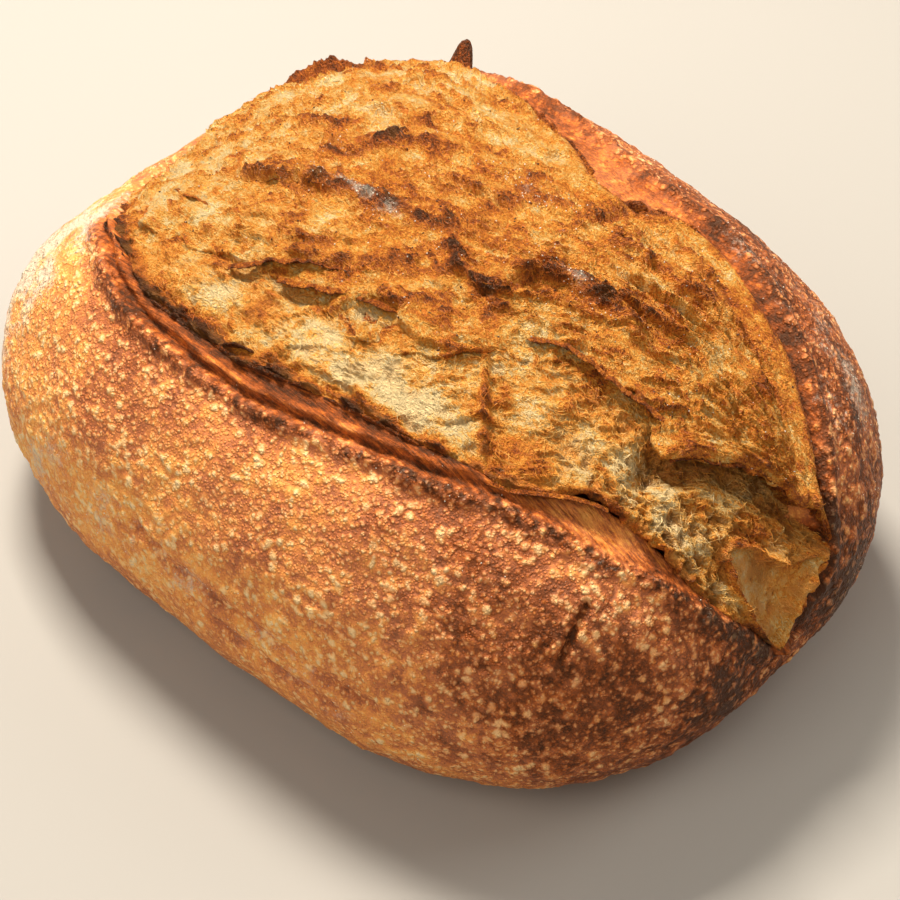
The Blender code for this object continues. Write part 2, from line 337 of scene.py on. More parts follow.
CRUMB_BAKE_AND_LIGHT_SPOTS = [
    (-34, -60, 12, 9, -0.20), (4, -55, 26, 8, -0.28), (44, -46, 12, 9, -0.20), (52, -32, 12, 9, -0.10),
    # The spot at (98, -20) is paler crumb and also painted light, lifting crumb that lies in shade near the
    # ear's lip.
    (72, -24, 16, 9, -0.12), (98, -20, 16, 9, -0.36), (32, -54, 20, 9, -0.32),
    (6, -42, 9, 5, 0.20), (-14, -55, 7, 6, 0.22),
    (-60, -56, 14, 7, 0.06), (58, -44, 10, 8, 0.16), (24, -62, 22, 4, 0.14), (-75, -48, 14, 8, 0.10),
]
BLOOM_FLOUR_SPOTS = [
    (8, 22, 13, 6, 0.55), (-20, -13, 20, 3, 0.90), (38, 5, 10, 3, 0.70), (-40, -2, 8, 4, 0.30),
]


def tear_coordinate(along, across):
    """Counts the layers of the tear: its level lines run the way the crumb pulled apart."""
    line = smooth_line([(-130, -4), (-80, -6), (-40, -2), (0, 10), (40, 26), (75, 52), (110, 82), (150, 118)])
    lean = np.interp(along, line[:, 0], line[:, 1])
    return across - lean * step(48.0, 4.0, across)


def ledges(count, depth, strength):
    """Torn layers: a sharp rise at each whole number of count, easing down to the next.

    Returns the height, the nearness to the torn lip and the nearness to the hollow in front of it.
    """
    part = count - np.floor(count)
    rise = step(0.0, 0.10, part)
    height = (rise * (1.0 - part) ** 1.3 - 0.32) * depth * strength
    lip = np.exp(-np.abs(part - 0.10) / 0.10) * strength
    hollow = np.exp(-(1.0 - part) / 0.10) * strength + (1.0 - rise) * strength * (part < 0.10)
    return height, lip, hollow


# ---------------------------------------------------------------- meshes

def ring_mesh(name, points, along, across, masks):
    """A closed skin from rings of points (rows by columns), with a point at each end."""
    rows, columns = points.shape[:2]
    ends = np.stack([points[0].mean(0), points[-1].mean(0)])
    verts = np.vstack([points.reshape(-1, 3), ends]) * MM
    row, column = np.meshgrid(np.arange(rows - 1), np.arange(columns), indexing="ij")
    after = (column + 1) % columns
    quads = np.stack([row * columns + column, row * columns + after,
                      (row + 1) * columns + after, (row + 1) * columns + column], axis=-1).reshape(-1, 4)
    ring = np.arange(columns)
    after = (ring + 1) % columns
    first = np.stack([after, ring, np.full(columns, rows * columns)], axis=-1)
    base = (rows - 1) * columns
    last = np.stack([base + ring, base + after, np.full(columns, rows * columns + 1)], axis=-1)
    mesh = bpy.data.meshes.new(name)
    mesh.from_pydata(verts.tolist(), [], quads.tolist() + first.tolist() + last.tolist())
    for mask, values in masks.items():
        flat = np.concatenate([values.ravel(), [values[0].mean(), values[-1].mean()]])
        mesh.attributes.new(mask, "FLOAT", "POINT").data.foreach_set("value", flat.astype(np.float32))
    place = np.stack([along, across], axis=-1).reshape(-1, 2)
    place = np.vstack([place, [[along[0].mean(), across[0].mean()], [along[-1].mean(), across[-1].mean()]]])
    corners = np.zeros(len(mesh.loops), dtype=np.int32)
    mesh.loops.foreach_get("vertex_index", corners)
    layer = mesh.uv_layers.new(name="map")
    layer.data.foreach_set("uv", (place[corners] / 100.0).astype(np.float32).ravel())
    mesh.shade_smooth()
    mesh.update()
    piece = bpy.data.objects.new(name, mesh)
    bpy.context.scene.collection.objects.link(piece)
    return piece


def spread(knots, counts):
    """Column places between knots, each run with its own count of columns."""
    runs = [np.linspace(a, b, n, endpoint=False) for a, b, n in zip(knots, knots[1:], counts)]
    return np.concatenate(runs)


# ---------------------------------------------------------------- relief of each layer

FLOOR_DEPTH = 12.0          # how deep the crust runs under the bloom
BAND_DEPTH = 3.2            # the stretched band between the flank and the ear's lip
BACK_BAND_DEPTH = 2.4
CAVE_DEPTH = 6.5            # the hollow under the ledge, near the +X end
EAR_RISE = 2.4              # the raised edge of the scored shoulder
EAR_RISE_LOSS = 0.9         # how much lower it is where the band is
SECOND_RIDGE_RISE = 1.9
GROOVE_DEPTH = 1.0          # between the ear and the second ridge
SHOULDER_RISE = 1.2
BACK_EDGE_RISE = 1.9
FACET_RIM_RISE = 3.2        # the crust's part of the facet's rim
CRUMB_RIM_RISE = 3.4        # and the crumb's
FACET_EDGE_RISE = 2.0
UPRIGHT_RIDGE_RISE = 3.2
BURNT_RISE = 3.0            # how far the browned ridges of the crown stand up
FOLD_RISE = 1.3
BIG_BLISTER_RISE = 0.42
SMALL_BLISTER_RISE = 0.34
UPRIGHT_RIDGE = [(37, -30), (44, -39), (52, -48)]
CRUMB_MOUNDS = [(-36, -60, 12, 7, 1.6), (0, -57, 10, 4, 0.8), (44, -49, 8, 5, 0.8)]
CRUMB_PITS = [
    (-27, -50, 5, 3, 2.6), (-12, -47, 5, 3, 2.8), (-38, -50, 6, 3, 1.6), (22, -50, 9, 2, 1.2),
    (64, -30, 4, 4, 1.6), (88, -20, 4, 4, 2.6),
]
PIT_SHADE_SPOTS = [(-27, -50, 6, 3, 1), (-12, -47, 6, 3, 1), (66, -30, 5, 5, 0.7)]

# Folds, cracks and creases: (line, height or depth, width), in millimetres.
CROWN_FOLDS = [
    ([(-50, -26), (-38, -19), (-20, -13), (-2, -9)], 1.8, 3.2),
    ([(-24, -44), (-16, -37), (-7, -32)], 1.6, 2.6),
    ([(26, -12), (29, -3), (36, 4), (47, 8), (58, 7)], 2.4, 2.6),
    ([(2, -4), (10, -12), (20, -15)], 1.6, 2.6),
    ([(-44, -2), (-34, 6), (-27, 15), (-14, 18)], 1.4, 2.8),
    ([(60, 20), (80, 24), (100, 22)], 1.0, 4.0),
    ([(-80, 30), (-50, 32), (-20, 28)], 1.3, 6.0),
]
CROWN_CRACKS = [
    ([(24, -16), (29, -9), (31, -2)], 1.6, 1.4),
    ([(62, 4), (72, 8), (84, 4)], 1.2, 1.6),
    ([(-30, 22), (-5, 30), (16, 33)], 1.4, 2.2),
    ([(24, 30), (25, 38), (29, 47)], 2.4, 2.0),
    ([(-60, 8), (-46, 12), (-36, 20)], 1.0, 2.0),
    ([(36, 30), (50, 28), (65, 24), (80, 20), (92, 15)], 0.9, 1.2),
    ([(44, 44), (58, 40), (72, 35), (88, 30), (101, 25)], 0.8, 1.0),
    ([(52, 36), (66, 31), (80, 27), (98, 21)], 0.6, 0.9),
]

# Browned ridges: (line, how much browner, width); they stand up by BURNT_RISE times as much.
CROWN_BURNT = [
    ([(-50, -27), (-37, -22), (-28, -16), (-9, -11), (0, -9)], 0.32, 2.2),
    ([(-89, -20), (-85, -6), (-66, 5), (-37, 8), (-20, 16)], 0.38, 2.6),
    ([(-45, -3), (-38, -2), (-31, 12), (-21, 13)], 0.38, 2.2),
    ([(-19, -47), (-16, -40), (-8, -33)], 0.24, 2.4),
    ([(-7, -31), (3, -22), (13, -20), (14, -15)], 0.30, 2.8),
    ([(9, -10), (15, -16), (21, -15)], 0.38, 1.8),
    ([(27, -4), (30, 4), (38, 7), (48, 7)], 0.34, 2.0),
    ([(14, -35), (18, -26), (29, -23), (30, -17)], 0.26, 2.8),
    ([(51, -16), (61, -10), (73, -6), (80, -1)], 0.30, 3.0),
    ([(-99, 31), (-87, 46), (-54, 44), (-37, 50), (-15, 49)], 0.30, 2.6),
    ([(50, 12), (66, 16), (84, 14), (98, 18)], 0.16, 3.0),
    ([(88, -8), (92, -3), (98, 4), (102, 9), (109, 14), (118, 20)], 0.26, 3.0),
]

BASE_CREASES = [
    ([(-16, -126), (10, -129), (44, -126), (62, -120)], 1.3, 2.0),
    ([(4, -136), (30, -137), (52, -132)], 1.0, 2.0),
    ([(93, -53), (95, -66)], 2.0, 0.9),
]

# The smooth bubble facet at the +X tip of the tear:
FACET_TOP = [(116, -10), (118, -6), (122, -1), (127, 2), (131, 7), (132, 14), (131, 22)]
FACET_SIDE = [(112, -14), (116, -10), (118, -6), (122, -1), (127, 2), (131, 7), (133, 22), (160, 24)]
FACET_LEFT = [(116, -10), (124, -12), (135, -10), (147, -5), (154, -1)]
FACET_RIM = [(131, 22), (138, 14), (145, 7), (153, 0)]


def ear_share(along):
    """How much of the ear there is: it runs out before the -X end of the tear."""
    return step(-90, -70, along)


def furrows(lines, along, across):
    return sum(rise * swell(distance_to(line, along, across), width) for line, rise, width in lines)


def settle(along, across):
    """Where the whole shape sinks below the plain body: the notch at the -X end of the tear."""
    return patches([(-96, -18, 26, 24, -5.5), (-80, -44, 12, 10, -1.5)], along, across)


def crust_relief(along, across, flat):
    """Height and finish masks of the crust."""
    front = inward_distance(FRONT_EDGE, along, across, 1)
    back = inward_distance(BACK_EDGE, along, across, -1)
    inner = inward_distance(INNER_EDGE, along, across, 1)
    ridge = inward_distance(FLOOR_BACK, along, across, -1)
    in_reach = step(TEAR_START - 4, TEAR_START + 8, along) * step(TEAR_END + 6, TEAR_END - 1, along)
    within = (along > TEAR_START) & (along < TEAR_END)
    front = np.where(within, front, -np.abs(front))
    inner = np.where(within, inner, -np.abs(inner))
    ridge = np.where(within, ridge, -np.abs(ridge))
    lumpy = layered_noise(flat, 34, 11, 3)
    ragged = layered_noise(flat, 5, 12, 3)
    right = step(50, 72, along)
    near_front = step(30, -10, across) * in_reach * ear_share(along)
    near_back = step(-10, 10, across) * in_reach

    uneven = front + 0.9 * noise(flat, 12, 17) + 0.5 * noise(flat, 4, 18)
    ear_rise = (EAR_RISE - EAR_RISE_LOSS * right) * swell(uneven + 0.6 * right, 2.6)
    outer_ridge = ear_rise * (1 + 0.3 * lumpy + 0.3 * ragged)
    shoulder = SHOULDER_RISE * swell(front + 13, 10)
    second_ridge = (1 - right) * (SECOND_RIDGE_RISE + 0.7 * ragged) * swell(uneven - 5.0, 1.5)
    thin_groove = (1 - right) * GROOVE_DEPTH * swell(uneven - 2.7, 1.0)
    band = right * BAND_DEPTH * step(-0.5, 7, front)
    height = near_front * (outer_ridge + shoulder + second_ridge - thin_groove - band)
    back_edge = BACK_EDGE_RISE * swell(back, 3.0) * (1 + 0.3 * ragged) + 0.8 * swell(back + 10, 8)
    seen_back = step(-80, -40, along)
    height += near_back * seen_back * (back_edge - BACK_BAND_DEPTH * step(0, 4, back))
    height += near_back * 0.8 * swell(ridge - 0.5, 1.5) * step(126, 110, along)
    tip = step(122, 130, along)
    height -= FLOOR_DEPTH * step(-0.4, 5, inner) * step(1.0 - 1.2 * tip, 7 - 4.5 * tip, ridge) * in_reach
    rim = swell(distance_to(FACET_RIM, along, across), 2.2)
    height += FACET_RIM_RISE * rim

    open_skin = 1 - step(0, 3, front) * near_front - 0.6 * step(0, 3, back) * near_back
    open_skin = np.clip(open_skin, 0, 1)
    clear_of_base = step(1.5, 12, flat[..., 2])
    bent = flat + 1.5 * np.stack([noise(flat, 3.5, seed) for seed in (31, 32, 33)], axis=-1)
    big, _, big_number = bubbles(bent, 5.2, 21)
    small, _, small_number = bubbles(bent, 2.6, 22)
    big_dome = dome(big, 0.22 + 0.34 * big_number) * (big_number > 0.45)
    small_dome = dome(small, 0.28 + 0.32 * small_number) * (small_number > 0.12)
    blister = np.maximum(0.9 * big_dome * (0.4 + big_number * 0.6),
                         0.8 * small_dome * (0.3 + 0.7 * small_number))
    bubbly = 0.50 + 0.5 * step(0.0, 0.5, noise(flat, 22, 34) + 0.25) + 0.2 * right
    height += open_skin * bubbly * (BIG_BLISTER_RISE * big_dome + SMALL_BLISTER_RISE * small_dome)
    height += open_skin * (0.8 * lumpy + 0.35 * noise(flat, 11, 13) + 0.22 * (ridged(flat, 2.4, 35, 2) - 0.4))
    wrinkles = (1 - open_skin) * 0.9 * (ridged(flat, 3.0, 36, 2) - 0.4) * step(-1, 3, ragged * 4)
    height += 0.10 * ragged + wrinkles
    height += (1 - open_skin) * 0.5 * (ridged(flat, 1.9, 39, 2) - 0.4)
    creased = furrows(BASE_CREASES, along, across)
    height -= creased
    height *= clear_of_base
    height += settle(along, across) * clear_of_base

    streak = noise(on_map(along / 6, front * 1.4), 1.0, 15)
    bake = FLANK_BAKE + patches(FLANK_BAKE_AND_SHADE_SPOTS, along, across) + 0.10 * lumpy + 0.10 * ragged
    bake += 0.07 - 0.17 * blister * open_skin * bubbly + 0.10 * noise(flat, 14, 37) * open_skin
    burnt_edge = near_front * (0.22 + 0.34 * noise(flat, 1.6, 38)) * swell(front, 3.2)
    burnt_edge += near_front * (1 - right) * (0.42 * swell(front - 8.2, 2.6) + 0.16 * swell(front - 2.8, 1.2))
    burnt_edge += near_front * (1 - right) * 0.12 * step(1.5, 3, front) * step(9, 7, front)
    burnt_edge += near_front * right * (0.22 * step(8, 12, front) + 0.06 * swell(front - 5, 4.0))
    burnt_edge *= swell(np.minimum(front, 0), 7)
    burnt_edge += near_back * (0.14 * swell(back, 2.4) * seen_back + 0.05 * step(0.5, 4, back))
    burnt_edge += near_back * 0.22 * swell(ridge, 1.8) * seen_back
    burnt_edge -= 0.22 * rim + 0.25 * step(1.0, 3.0, ridge) * step(90, 100, along) * near_back
    bake += burnt_edge + 0.14 * streak * (1 - open_skin) + 0.16 * np.clip(creased, 0, 1)
    flour = patches(FLANK_FLOUR_SPOTS, along, across) * (0.75 + 0.6 * noise(flat, 9, 16))
    flour += near_front * (1 - right) * 0.45 * swell(front - 5.0, 1.4) * (0.6 + 0.8 * ragged)
    flour += 0.34 * near_front * swell(front + 1.0, 3.0) * step(-0.1, 0.5, ragged)
    flour *= 0.4 + 0.6 * open_skin
    return height, {"bake": bake, "flour": np.clip(flour, 0, 1), "blister": blister * open_skin * bubbly,
                    "open": open_skin}


def torn_relief(along, across, flat, seed, coarse):
    """Layers, crests and pits of torn crumb: height, nearness to crests, and nearness to hollows."""
    tear = tear_coordinate(along, across)
    warp = 9.0 * noise(flat, 30, seed) + 4.5 * noise(flat, 11, seed + 1) + 1.6 * noise(flat, 4, seed + 2)
    tufted = 0.25 + 0.75 * step(-0.25, 0.35, noise(flat, 10, seed + 12) + 0.12)
    height, lip, hollow = 0.0, 0.0, 0.0
    for n, (gap, depth, share) in enumerate([(19.0, 3.6, 1.0), (8.5, 2.2, 0.8), (4.0, 0.8, 0.5)]):
        present = step(-0.15, 0.45, noise(flat, 1.7 * gap, seed + 3 + n)) * coarse
        layer = ledges((tear + warp * (1.0 - 0.15 * n)) / gap, depth, present)
        height = height + layer[0]
        lip = np.maximum(lip, layer[1] * share)
        hollow = np.maximum(hollow, layer[2] * share)
    pulled = np.stack([along * 0.7, tear + 0.7 * warp, flat[..., 2] * 0.4], axis=-1)
    crest = ridged(pulled, 5.0, seed + 8, 4, 0.62)
    tufts = ridged(flat, 2.2, seed + 9, 3, 0.6)
    rough = 2.2 * (crest - 0.35) + 1.4 * (tufts - 0.35)
    height = height + 0.9 * layered_noise(flat, 10, seed + 10, 2) + rough * tufted
    lip = np.clip((0.75 * lip + 1.3 * (crest - 0.42) + 0.6 * (tufts - 0.4)) * tufted, -0.4, 1.2)
    lip += 0.25 * (tufted - 0.7)
    return height, lip, hollow


def lip_lift(along, flat):
    """How far the crown's torn edge stands clear of the crumb: 0 where they run into each other."""
    here = step(-74, -50, along) * (1 - 0.75 * swell(along + 6, 16)) * (1 - 0.6 * swell(along - 48, 12))
    return np.clip(0.6 * here + 0.9 * noise(flat, 10, 97), 0, 1) * step(-100, -70, along)


def crown_relief(along, across, flat):
    """The toasted top layer, from the torn ledge to the ridge on the far shoulder."""
    past_ledge = across - across_at(LEDGE, along)
    before_ridge = across_at(BACK_RIDGE, along) - across
    torn, lip, hollow = torn_relief(along, across, flat, 40, 1.0)
    stretched = step(14, 4, before_ridge) * step(-20, 20, along)
    rough = 1 - 0.75 * stretched
    stripes = stretched * layered_noise(on_map(along / 14, before_ridge / 1.6), 1.0, 50, 2)
    edge = step(0.0, 7.0, past_ledge) * step(0.0, 5.0, before_ridge)
    cave_side = step(76, 90, along)
    lift = lip_lift(along, flat)
    folds = furrows(CROWN_FOLDS, along, across)
    burnt = furrows(CROWN_BURNT, along, across) * np.clip(0.75 + 0.9 * noise(flat, 3.5, 49), 0, 1.6)
    cracks = furrows(CROWN_CRACKS, along, across)
    height = torn * (0.45 + 0.55 * edge) * rough + FOLD_RISE * folds - cracks + BURNT_RISE * burnt
    height = height + 0.6 * stripes
    raised = (1.3 * lift + 1.2 * cave_side) * swell(past_ledge - 3.0, 5.0)
    height += raised + 1.8 * swell(before_ridge - 3.5, 2.4)
    height -= 1.8 * swell(before_ridge, 1.5)
    height -= (1 - lift) * (1 - cave_side) * 2.6 * step(9.0, 0.0, past_ledge)
    height += settle(along, across)
    pits, _, number = bubbles(flat, 6.5, 61)
    pit = bowl(pits, 0.24) * (number > 0.45) * edge * rough
    height -= 1.3 * pit

    ragged = layered_noise(flat, 6, 44, 4)
    tear = tear_coordinate(along, across)
    streak = noise(np.stack([along / 9.0, tear / 1.6, flat[..., 2] / 9.0], axis=-1), 1.0, 45)
    bake = BLOOM_BAKE + patches(BLOOM_BAKE_SPOTS, along, across) + 0.14 * ragged + 0.10 * streak
    bake += 0.42 * lip * rough - 0.14 * hollow - 0.10 * pit + 0.14 * np.clip(folds / 2, 0, 1)
    bake += 0.34 * swell(before_ridge - 1.0, 2.2) + 0.10 * cracks + 0.10 * stretched + 0.20 * stripes
    bake += 0.14 * swell(past_ledge - 1.0, 2.5) * lift - 0.16 * (1 - lift) * step(14, 0, past_ledge)
    bake += 0.13 * noise(flat, 20, 46) + 0.16 * noise(flat, 9, 48) + burnt - 0.05
    flour = patches(BLOOM_FLOUR_SPOTS, along, across) * (0.7 + 0.6 * noise(flat, 3.5, 47)) + 0.03
    fibre = np.clip(0.35 + 0.9 * lip + 0.3 * ragged, 0.05, 1) * rough * (1 - 0.7 * step(-5, 30, across))
    return height, {"bake": bake, "flour": np.clip(flour, 0, 1), "hollow": hollow + 0.6 * pit, "fibre": fibre}


def crumb_relief(along, across, flat):
    """The paler crumb bed between the ear and the torn ledge, and the open tear at the +X end."""
    past_ear = across - across_at(INNER_EDGE, along)
    to_ledge = across_at(LEDGE, along) - across
    right = step(52, 70, along)
    torn, lip, hollow = torn_relief(along, across, flat, 70, 0.6)
    ragged = layered_noise(flat, 4, 71, 4)
    settled = 1.0 + 0.7 * step(14, 2, to_ledge)
    cave = step(78, 90, along) * step(132, 122, along)
    bed = -settled - cave * (1.2 + CAVE_DEPTH * step(13, 2.5, to_ledge))
    bed += 0.6 * step(88, 104, along) * step(5, 12, to_ledge)
    height = bed + 0.9 * torn
    burnt = layered_noise(on_map(along / 2.2, across), 2.6, 98, 3)
    wander = past_ear + 0.9 * noise(flat, 9, 99) + 0.5 * burnt
    ear = (1 - right) * ear_share(along)
    burnt_ridge = ear * np.clip(1.7 + 2.2 * burnt, 0.2, 4) * swell(wander - 1.3, 1.2)
    lip_rise = right * step(126, 110, along) * 1.7 * swell(past_ear - 1.2, 2.4)
    height += burnt_ridge + lip_rise
    ridge = distance_to(UPRIGHT_RIDGE, along, across) + 0.4 * burnt
    height += UPRIGHT_RIDGE_RISE * swell(ridge, 1.0) - 1.3 * patches([(52, -38, 7, 7, 1.0)], along, across)
    height += patches(CRUMB_MOUNDS, along, across)
    height -= patches(CRUMB_PITS, along, across)
    webby = 0.25 + 0.75 * step(56, 84, along)
    bent = flat + 0.8 * np.stack([noise(flat, 3, seed) for seed in (73, 74, 77)], axis=-1)
    _, large_wall, large_number = bubbles(bent, 5.5, 75)
    _, little_wall, little_number = bubbles(bent, 2.4, 76)
    pit = step(0.03, 0.35, large_wall) * (large_number > 0.35)
    small_pit = step(0.04, 0.40, little_wall) * (little_number > 0.25)
    height -= webby * (1.6 * pit * (0.5 + large_number) + (0.8 + 0.7 * cave) * small_pit)

    facet_edge = np.minimum(distance_to(FACET_TOP, along, across), distance_to(FACET_LEFT, along, across))
    inside = np.minimum(across_at(FACET_SIDE, along) - across, across - across_at(FACET_LEFT, along))
    facet = step(-0.4, 1.2, inside) * step(114.5, 117, along)
    dimples, _, dimple_number = bubbles(flat, 3.4, 95)
    dimple = bowl(dimples, 0.25) * (dimple_number > 0.4)
    smooth_skin = -1.2 - 3.0 * patches([(134, 2, 13, 8, 1.0)], along, across)
    smooth_skin = smooth_skin + 0.6 * noise(flat, 6, 78) + 0.3 * ragged - 0.5 * dimple
    height = height * (1 - facet) + smooth_skin * facet
    height += FACET_EDGE_RISE * swell(facet_edge, 0.9) * (1 + 0.8 * ragged)
    height += CRUMB_RIM_RISE * swell(distance_to(FACET_RIM, along, across), 1.4) * (1 + 0.3 * ragged)
    height -= 1.2 * patches([(143, 1, 1.4, 1.4, 1.0)], along, across) * facet
    height += settle(along, across)

    tear = tear_coordinate(along, across)
    streak = noise(np.stack([along / 8.0, tear / 1.5, flat[..., 2] / 8.0], axis=-1), 1.0, 79)
    bake = CRUMB_BAKE + patches(CRUMB_BAKE_AND_LIGHT_SPOTS, along, across) + 0.16 * ragged + 0.10 * streak
    bake += 0.38 * noise(flat, 11, 80) + 0.40 * lip - 0.14 * hollow - 0.08 * pit * webby
    bake += ear * 0.66 * swell(wander - 1.2, 2.7) * (1 + 0.8 * burnt)
    bake += right * 0.34 * swell(past_ear, 1.6)
    bake += 0.42 * swell(ridge, 1.3)
    bake = bake * (1 - 0.9 * facet) + 0.9 * facet * (0.23 + 0.16 * noise(flat, 5, 81) + 0.2 * ragged)
    spots = patches([(134, 8, 8, 5, 0.20), (143, 1, 1.6, 1.6, 0.5)], along, across)
    bake += spots * facet + 0.5 * dimple * facet
    bake += 0.08 * swell(distance_to(FACET_RIM, along, across), 1.6) + 0.24 * swell(facet_edge, 1.1)
    # Painted shade: the cave under the ledge, the facet's shaded side and the deeper pits are marked here, to
    # be tinted tan in the material.
    shade = cave * step(9, 2, to_ledge) + 0.8 * facet * patches([(130, -2, 12, 6, 1.0)], along, across)
    shade += 0.3 * webby * pit
    shade += 0.8 * patches(PIT_SHADE_SPOTS, along, across)
    fibre = np.clip(0.40 + 0.6 * lip + 0.3 * webby * (1 - pit), 0.05, 1)
    fibre = fibre * (1 - facet) * step(2.0, 5.0, past_ear)
    masks = {"bake": bake, "flour": np.zeros_like(bake), "hollow": np.clip(hollow + pit * webby, 0, 1),
             "grey": np.clip(shade, 0, 1), "fibre": fibre}
    return height, masks


CRUST_ROWS = 400
CRUST_ROW_TURN = 1.35                 # how much the rows crowd together towards the two ends
CRUST_COLUMNS = [5, 22, 78, 50, 14, 24, 34, 14, 5]   # base, under, flank, ear, crown, then back round
FLANK_SHARE = 0.56                    # where the flank and the underside end, as shares of half a ring
UNDER_SHARE = 0.74
EAR_REACH = 12.0                      # how far to each side of an edge the columns stay close together
EAR_SHARE_MOST = 0.07


def crust_grid():
    """Rings of map places for the crust: close together over the ear and the far edge."""
    turns = np.linspace(CRUST_ROW_TURN, -CRUST_ROW_TURN, CRUST_ROWS)
    reach = np.sin(turns) / math.sin(CRUST_ROW_TURN)
    along = np.repeat((reach * skin.along[0] * 0.9975)[:, None], sum(CRUST_COLUMNS), axis=1)
    across = np.zeros_like(along)
    for row, place in enumerate(along[:, 0]):
        half = skin.half_ring_at(place)
        front = np.clip(across_at(FRONT_EDGE, place) / half, -0.37, -0.14)
        back = np.clip(across_at(BACK_EDGE, place) / half, 0.14, 0.36)
        ear = min(EAR_REACH / half, EAR_SHARE_MOST)
        knots = [-1.0, -UNDER_SHARE, -FLANK_SHARE, front - ear, front + ear]
        knots += [back - 0.6 * ear, back + ear, FLANK_SHARE, UNDER_SHARE, 1.0]
        across[row] = spread(knots, CRUST_COLUMNS) * half
    return along, across


def layer_grid(first, last, rows, columns, near_line, far_line, beyond):
    """Map places for the top of a layer that lies over the loaf, between two lines."""
    spot = np.linspace(last, first, rows)
    near = across_at(near_line, spot)
    far = across_at(far_line, spot) + beyond
    far = np.maximum(far, near + 0.4)
    share = np.linspace(0.0, 1.0, columns)
    across = near[:, None] + (far - near)[:, None] * share
    return np.repeat(spot[:, None], columns, axis=1), across


def layer_piece(name, along, across, relief, under):
    """A closed layer: the shaped top, rolled under at both edges and closed below.

    The underside runs from the far edge back to the near one, as CROWN_UNDER and CRUMB_UNDER say.
    """
    flat = skin.place(along, across, np.zeros_like(along))
    height, masks = relief(along, across, flat)
    top = skin.place(along, across, height)
    width = across[:, -1] - across[:, 0]
    taper = step(0.0, 14.0, width)
    loops = [top]
    for share, inset, drop, from_edge in under:
        place = across[:, 0] + share * width + inset * taper
        start = height[:, -1 if share > 0.5 else 0] if from_edge else 0.0
        loops.append(skin.place(along[:, 0], place, start - drop * taper - 0.05)[:, None])
    points = np.concatenate(loops, axis=1)
    for mask, values in masks.items():
        nearer = [values[:, -1:] if share > 0.5 else values[:, :1] for share, *_ in under]
        masks[mask] = np.concatenate([values] + nearer, axis=1)
    places = [np.concatenate([grid] + [grid[:, -1:] if share > 0.5 else grid[:, :1] for share, *_ in under],
                             axis=1) for grid in (along, across)]
    return ring_mesh(name, points, places[0], places[1], masks)


def ragged_line(line, seed, large, small):
    """A line's places across, made uneven as a tear is."""
    fine = smooth_line(line, 60)
    spot = np.stack([fine[:, 0], np.full(len(fine), 3.1), np.full(len(fine), 5.7)], axis=-1)
    uneven = large * noise(spot, 9.0, seed) + small * noise(spot, 2.6, seed + 1)
    hold = step(-108, -90, fine[:, 0]) * step(134, 120, fine[:, 0])
    return [(a, c + u * h) for (a, c), u, h in zip(fine, uneven, hold)]


# ---------------------------------------------------------------- finishes


def screen(red, green, blue):
    """A colour read off a screen, 0 to 255, as the linear colour that shaders use."""
    shares = [value / 255 for value in (red, green, blue)]
    linear = [s / 12.92 if s <= 0.04045 else ((s + 0.055) / 1.055) ** 2.4 for s in shares]
    return (*linear, 1.0)


class Wire:
    """A node's output that can be used in sums."""

    def __init__(self, finish, socket):
        self.finish = finish
        self.socket = socket

    def __add__(self, other):
        return self.finish.sum("ADD", self, other)

    def __sub__(self, other):
        return self.finish.sum("SUBTRACT", self, other)

    def __rsub__(self, other):
        return self.finish.sum("SUBTRACT", other, self)

    def __mul__(self, other):
        return self.finish.sum("MULTIPLY", self, other)

    def __truediv__(self, other):
        return self.finish.sum("DIVIDE", self, other)

    __radd__ = __add__
    __rmul__ = __mul__


def plug(tree, socket, value):
    """Links a socket to another node's output, or sets it."""
    if isinstance(value, Wire):
        value = value.socket
    if isinstance(value, bpy.types.NodeSocket):
        tree.links.new(value, socket)
    else:
        socket.default_value = value


def set_stops(ramp, stops):
    """A ramp's colours, from (place, colour) stops."""
    while len(ramp.elements) < len(stops):
        ramp.elements.new(0.5)
    for element, (place, colour) in zip(ramp.elements, stops):
        element.position = place
        element.color = colour


def add_node(tree, kind, settings, sockets):
    """Any node: its settings first, then the values or links of its sockets."""
    node = tree.nodes.new(kind)
    for name, value in settings.items():
        if name == "stops":
            set_stops(node.color_ramp, value)
        else:
            setattr(node, name, value)
    for name, value in sockets.items():
        plug(tree, node.inputs[name], value)
    return node


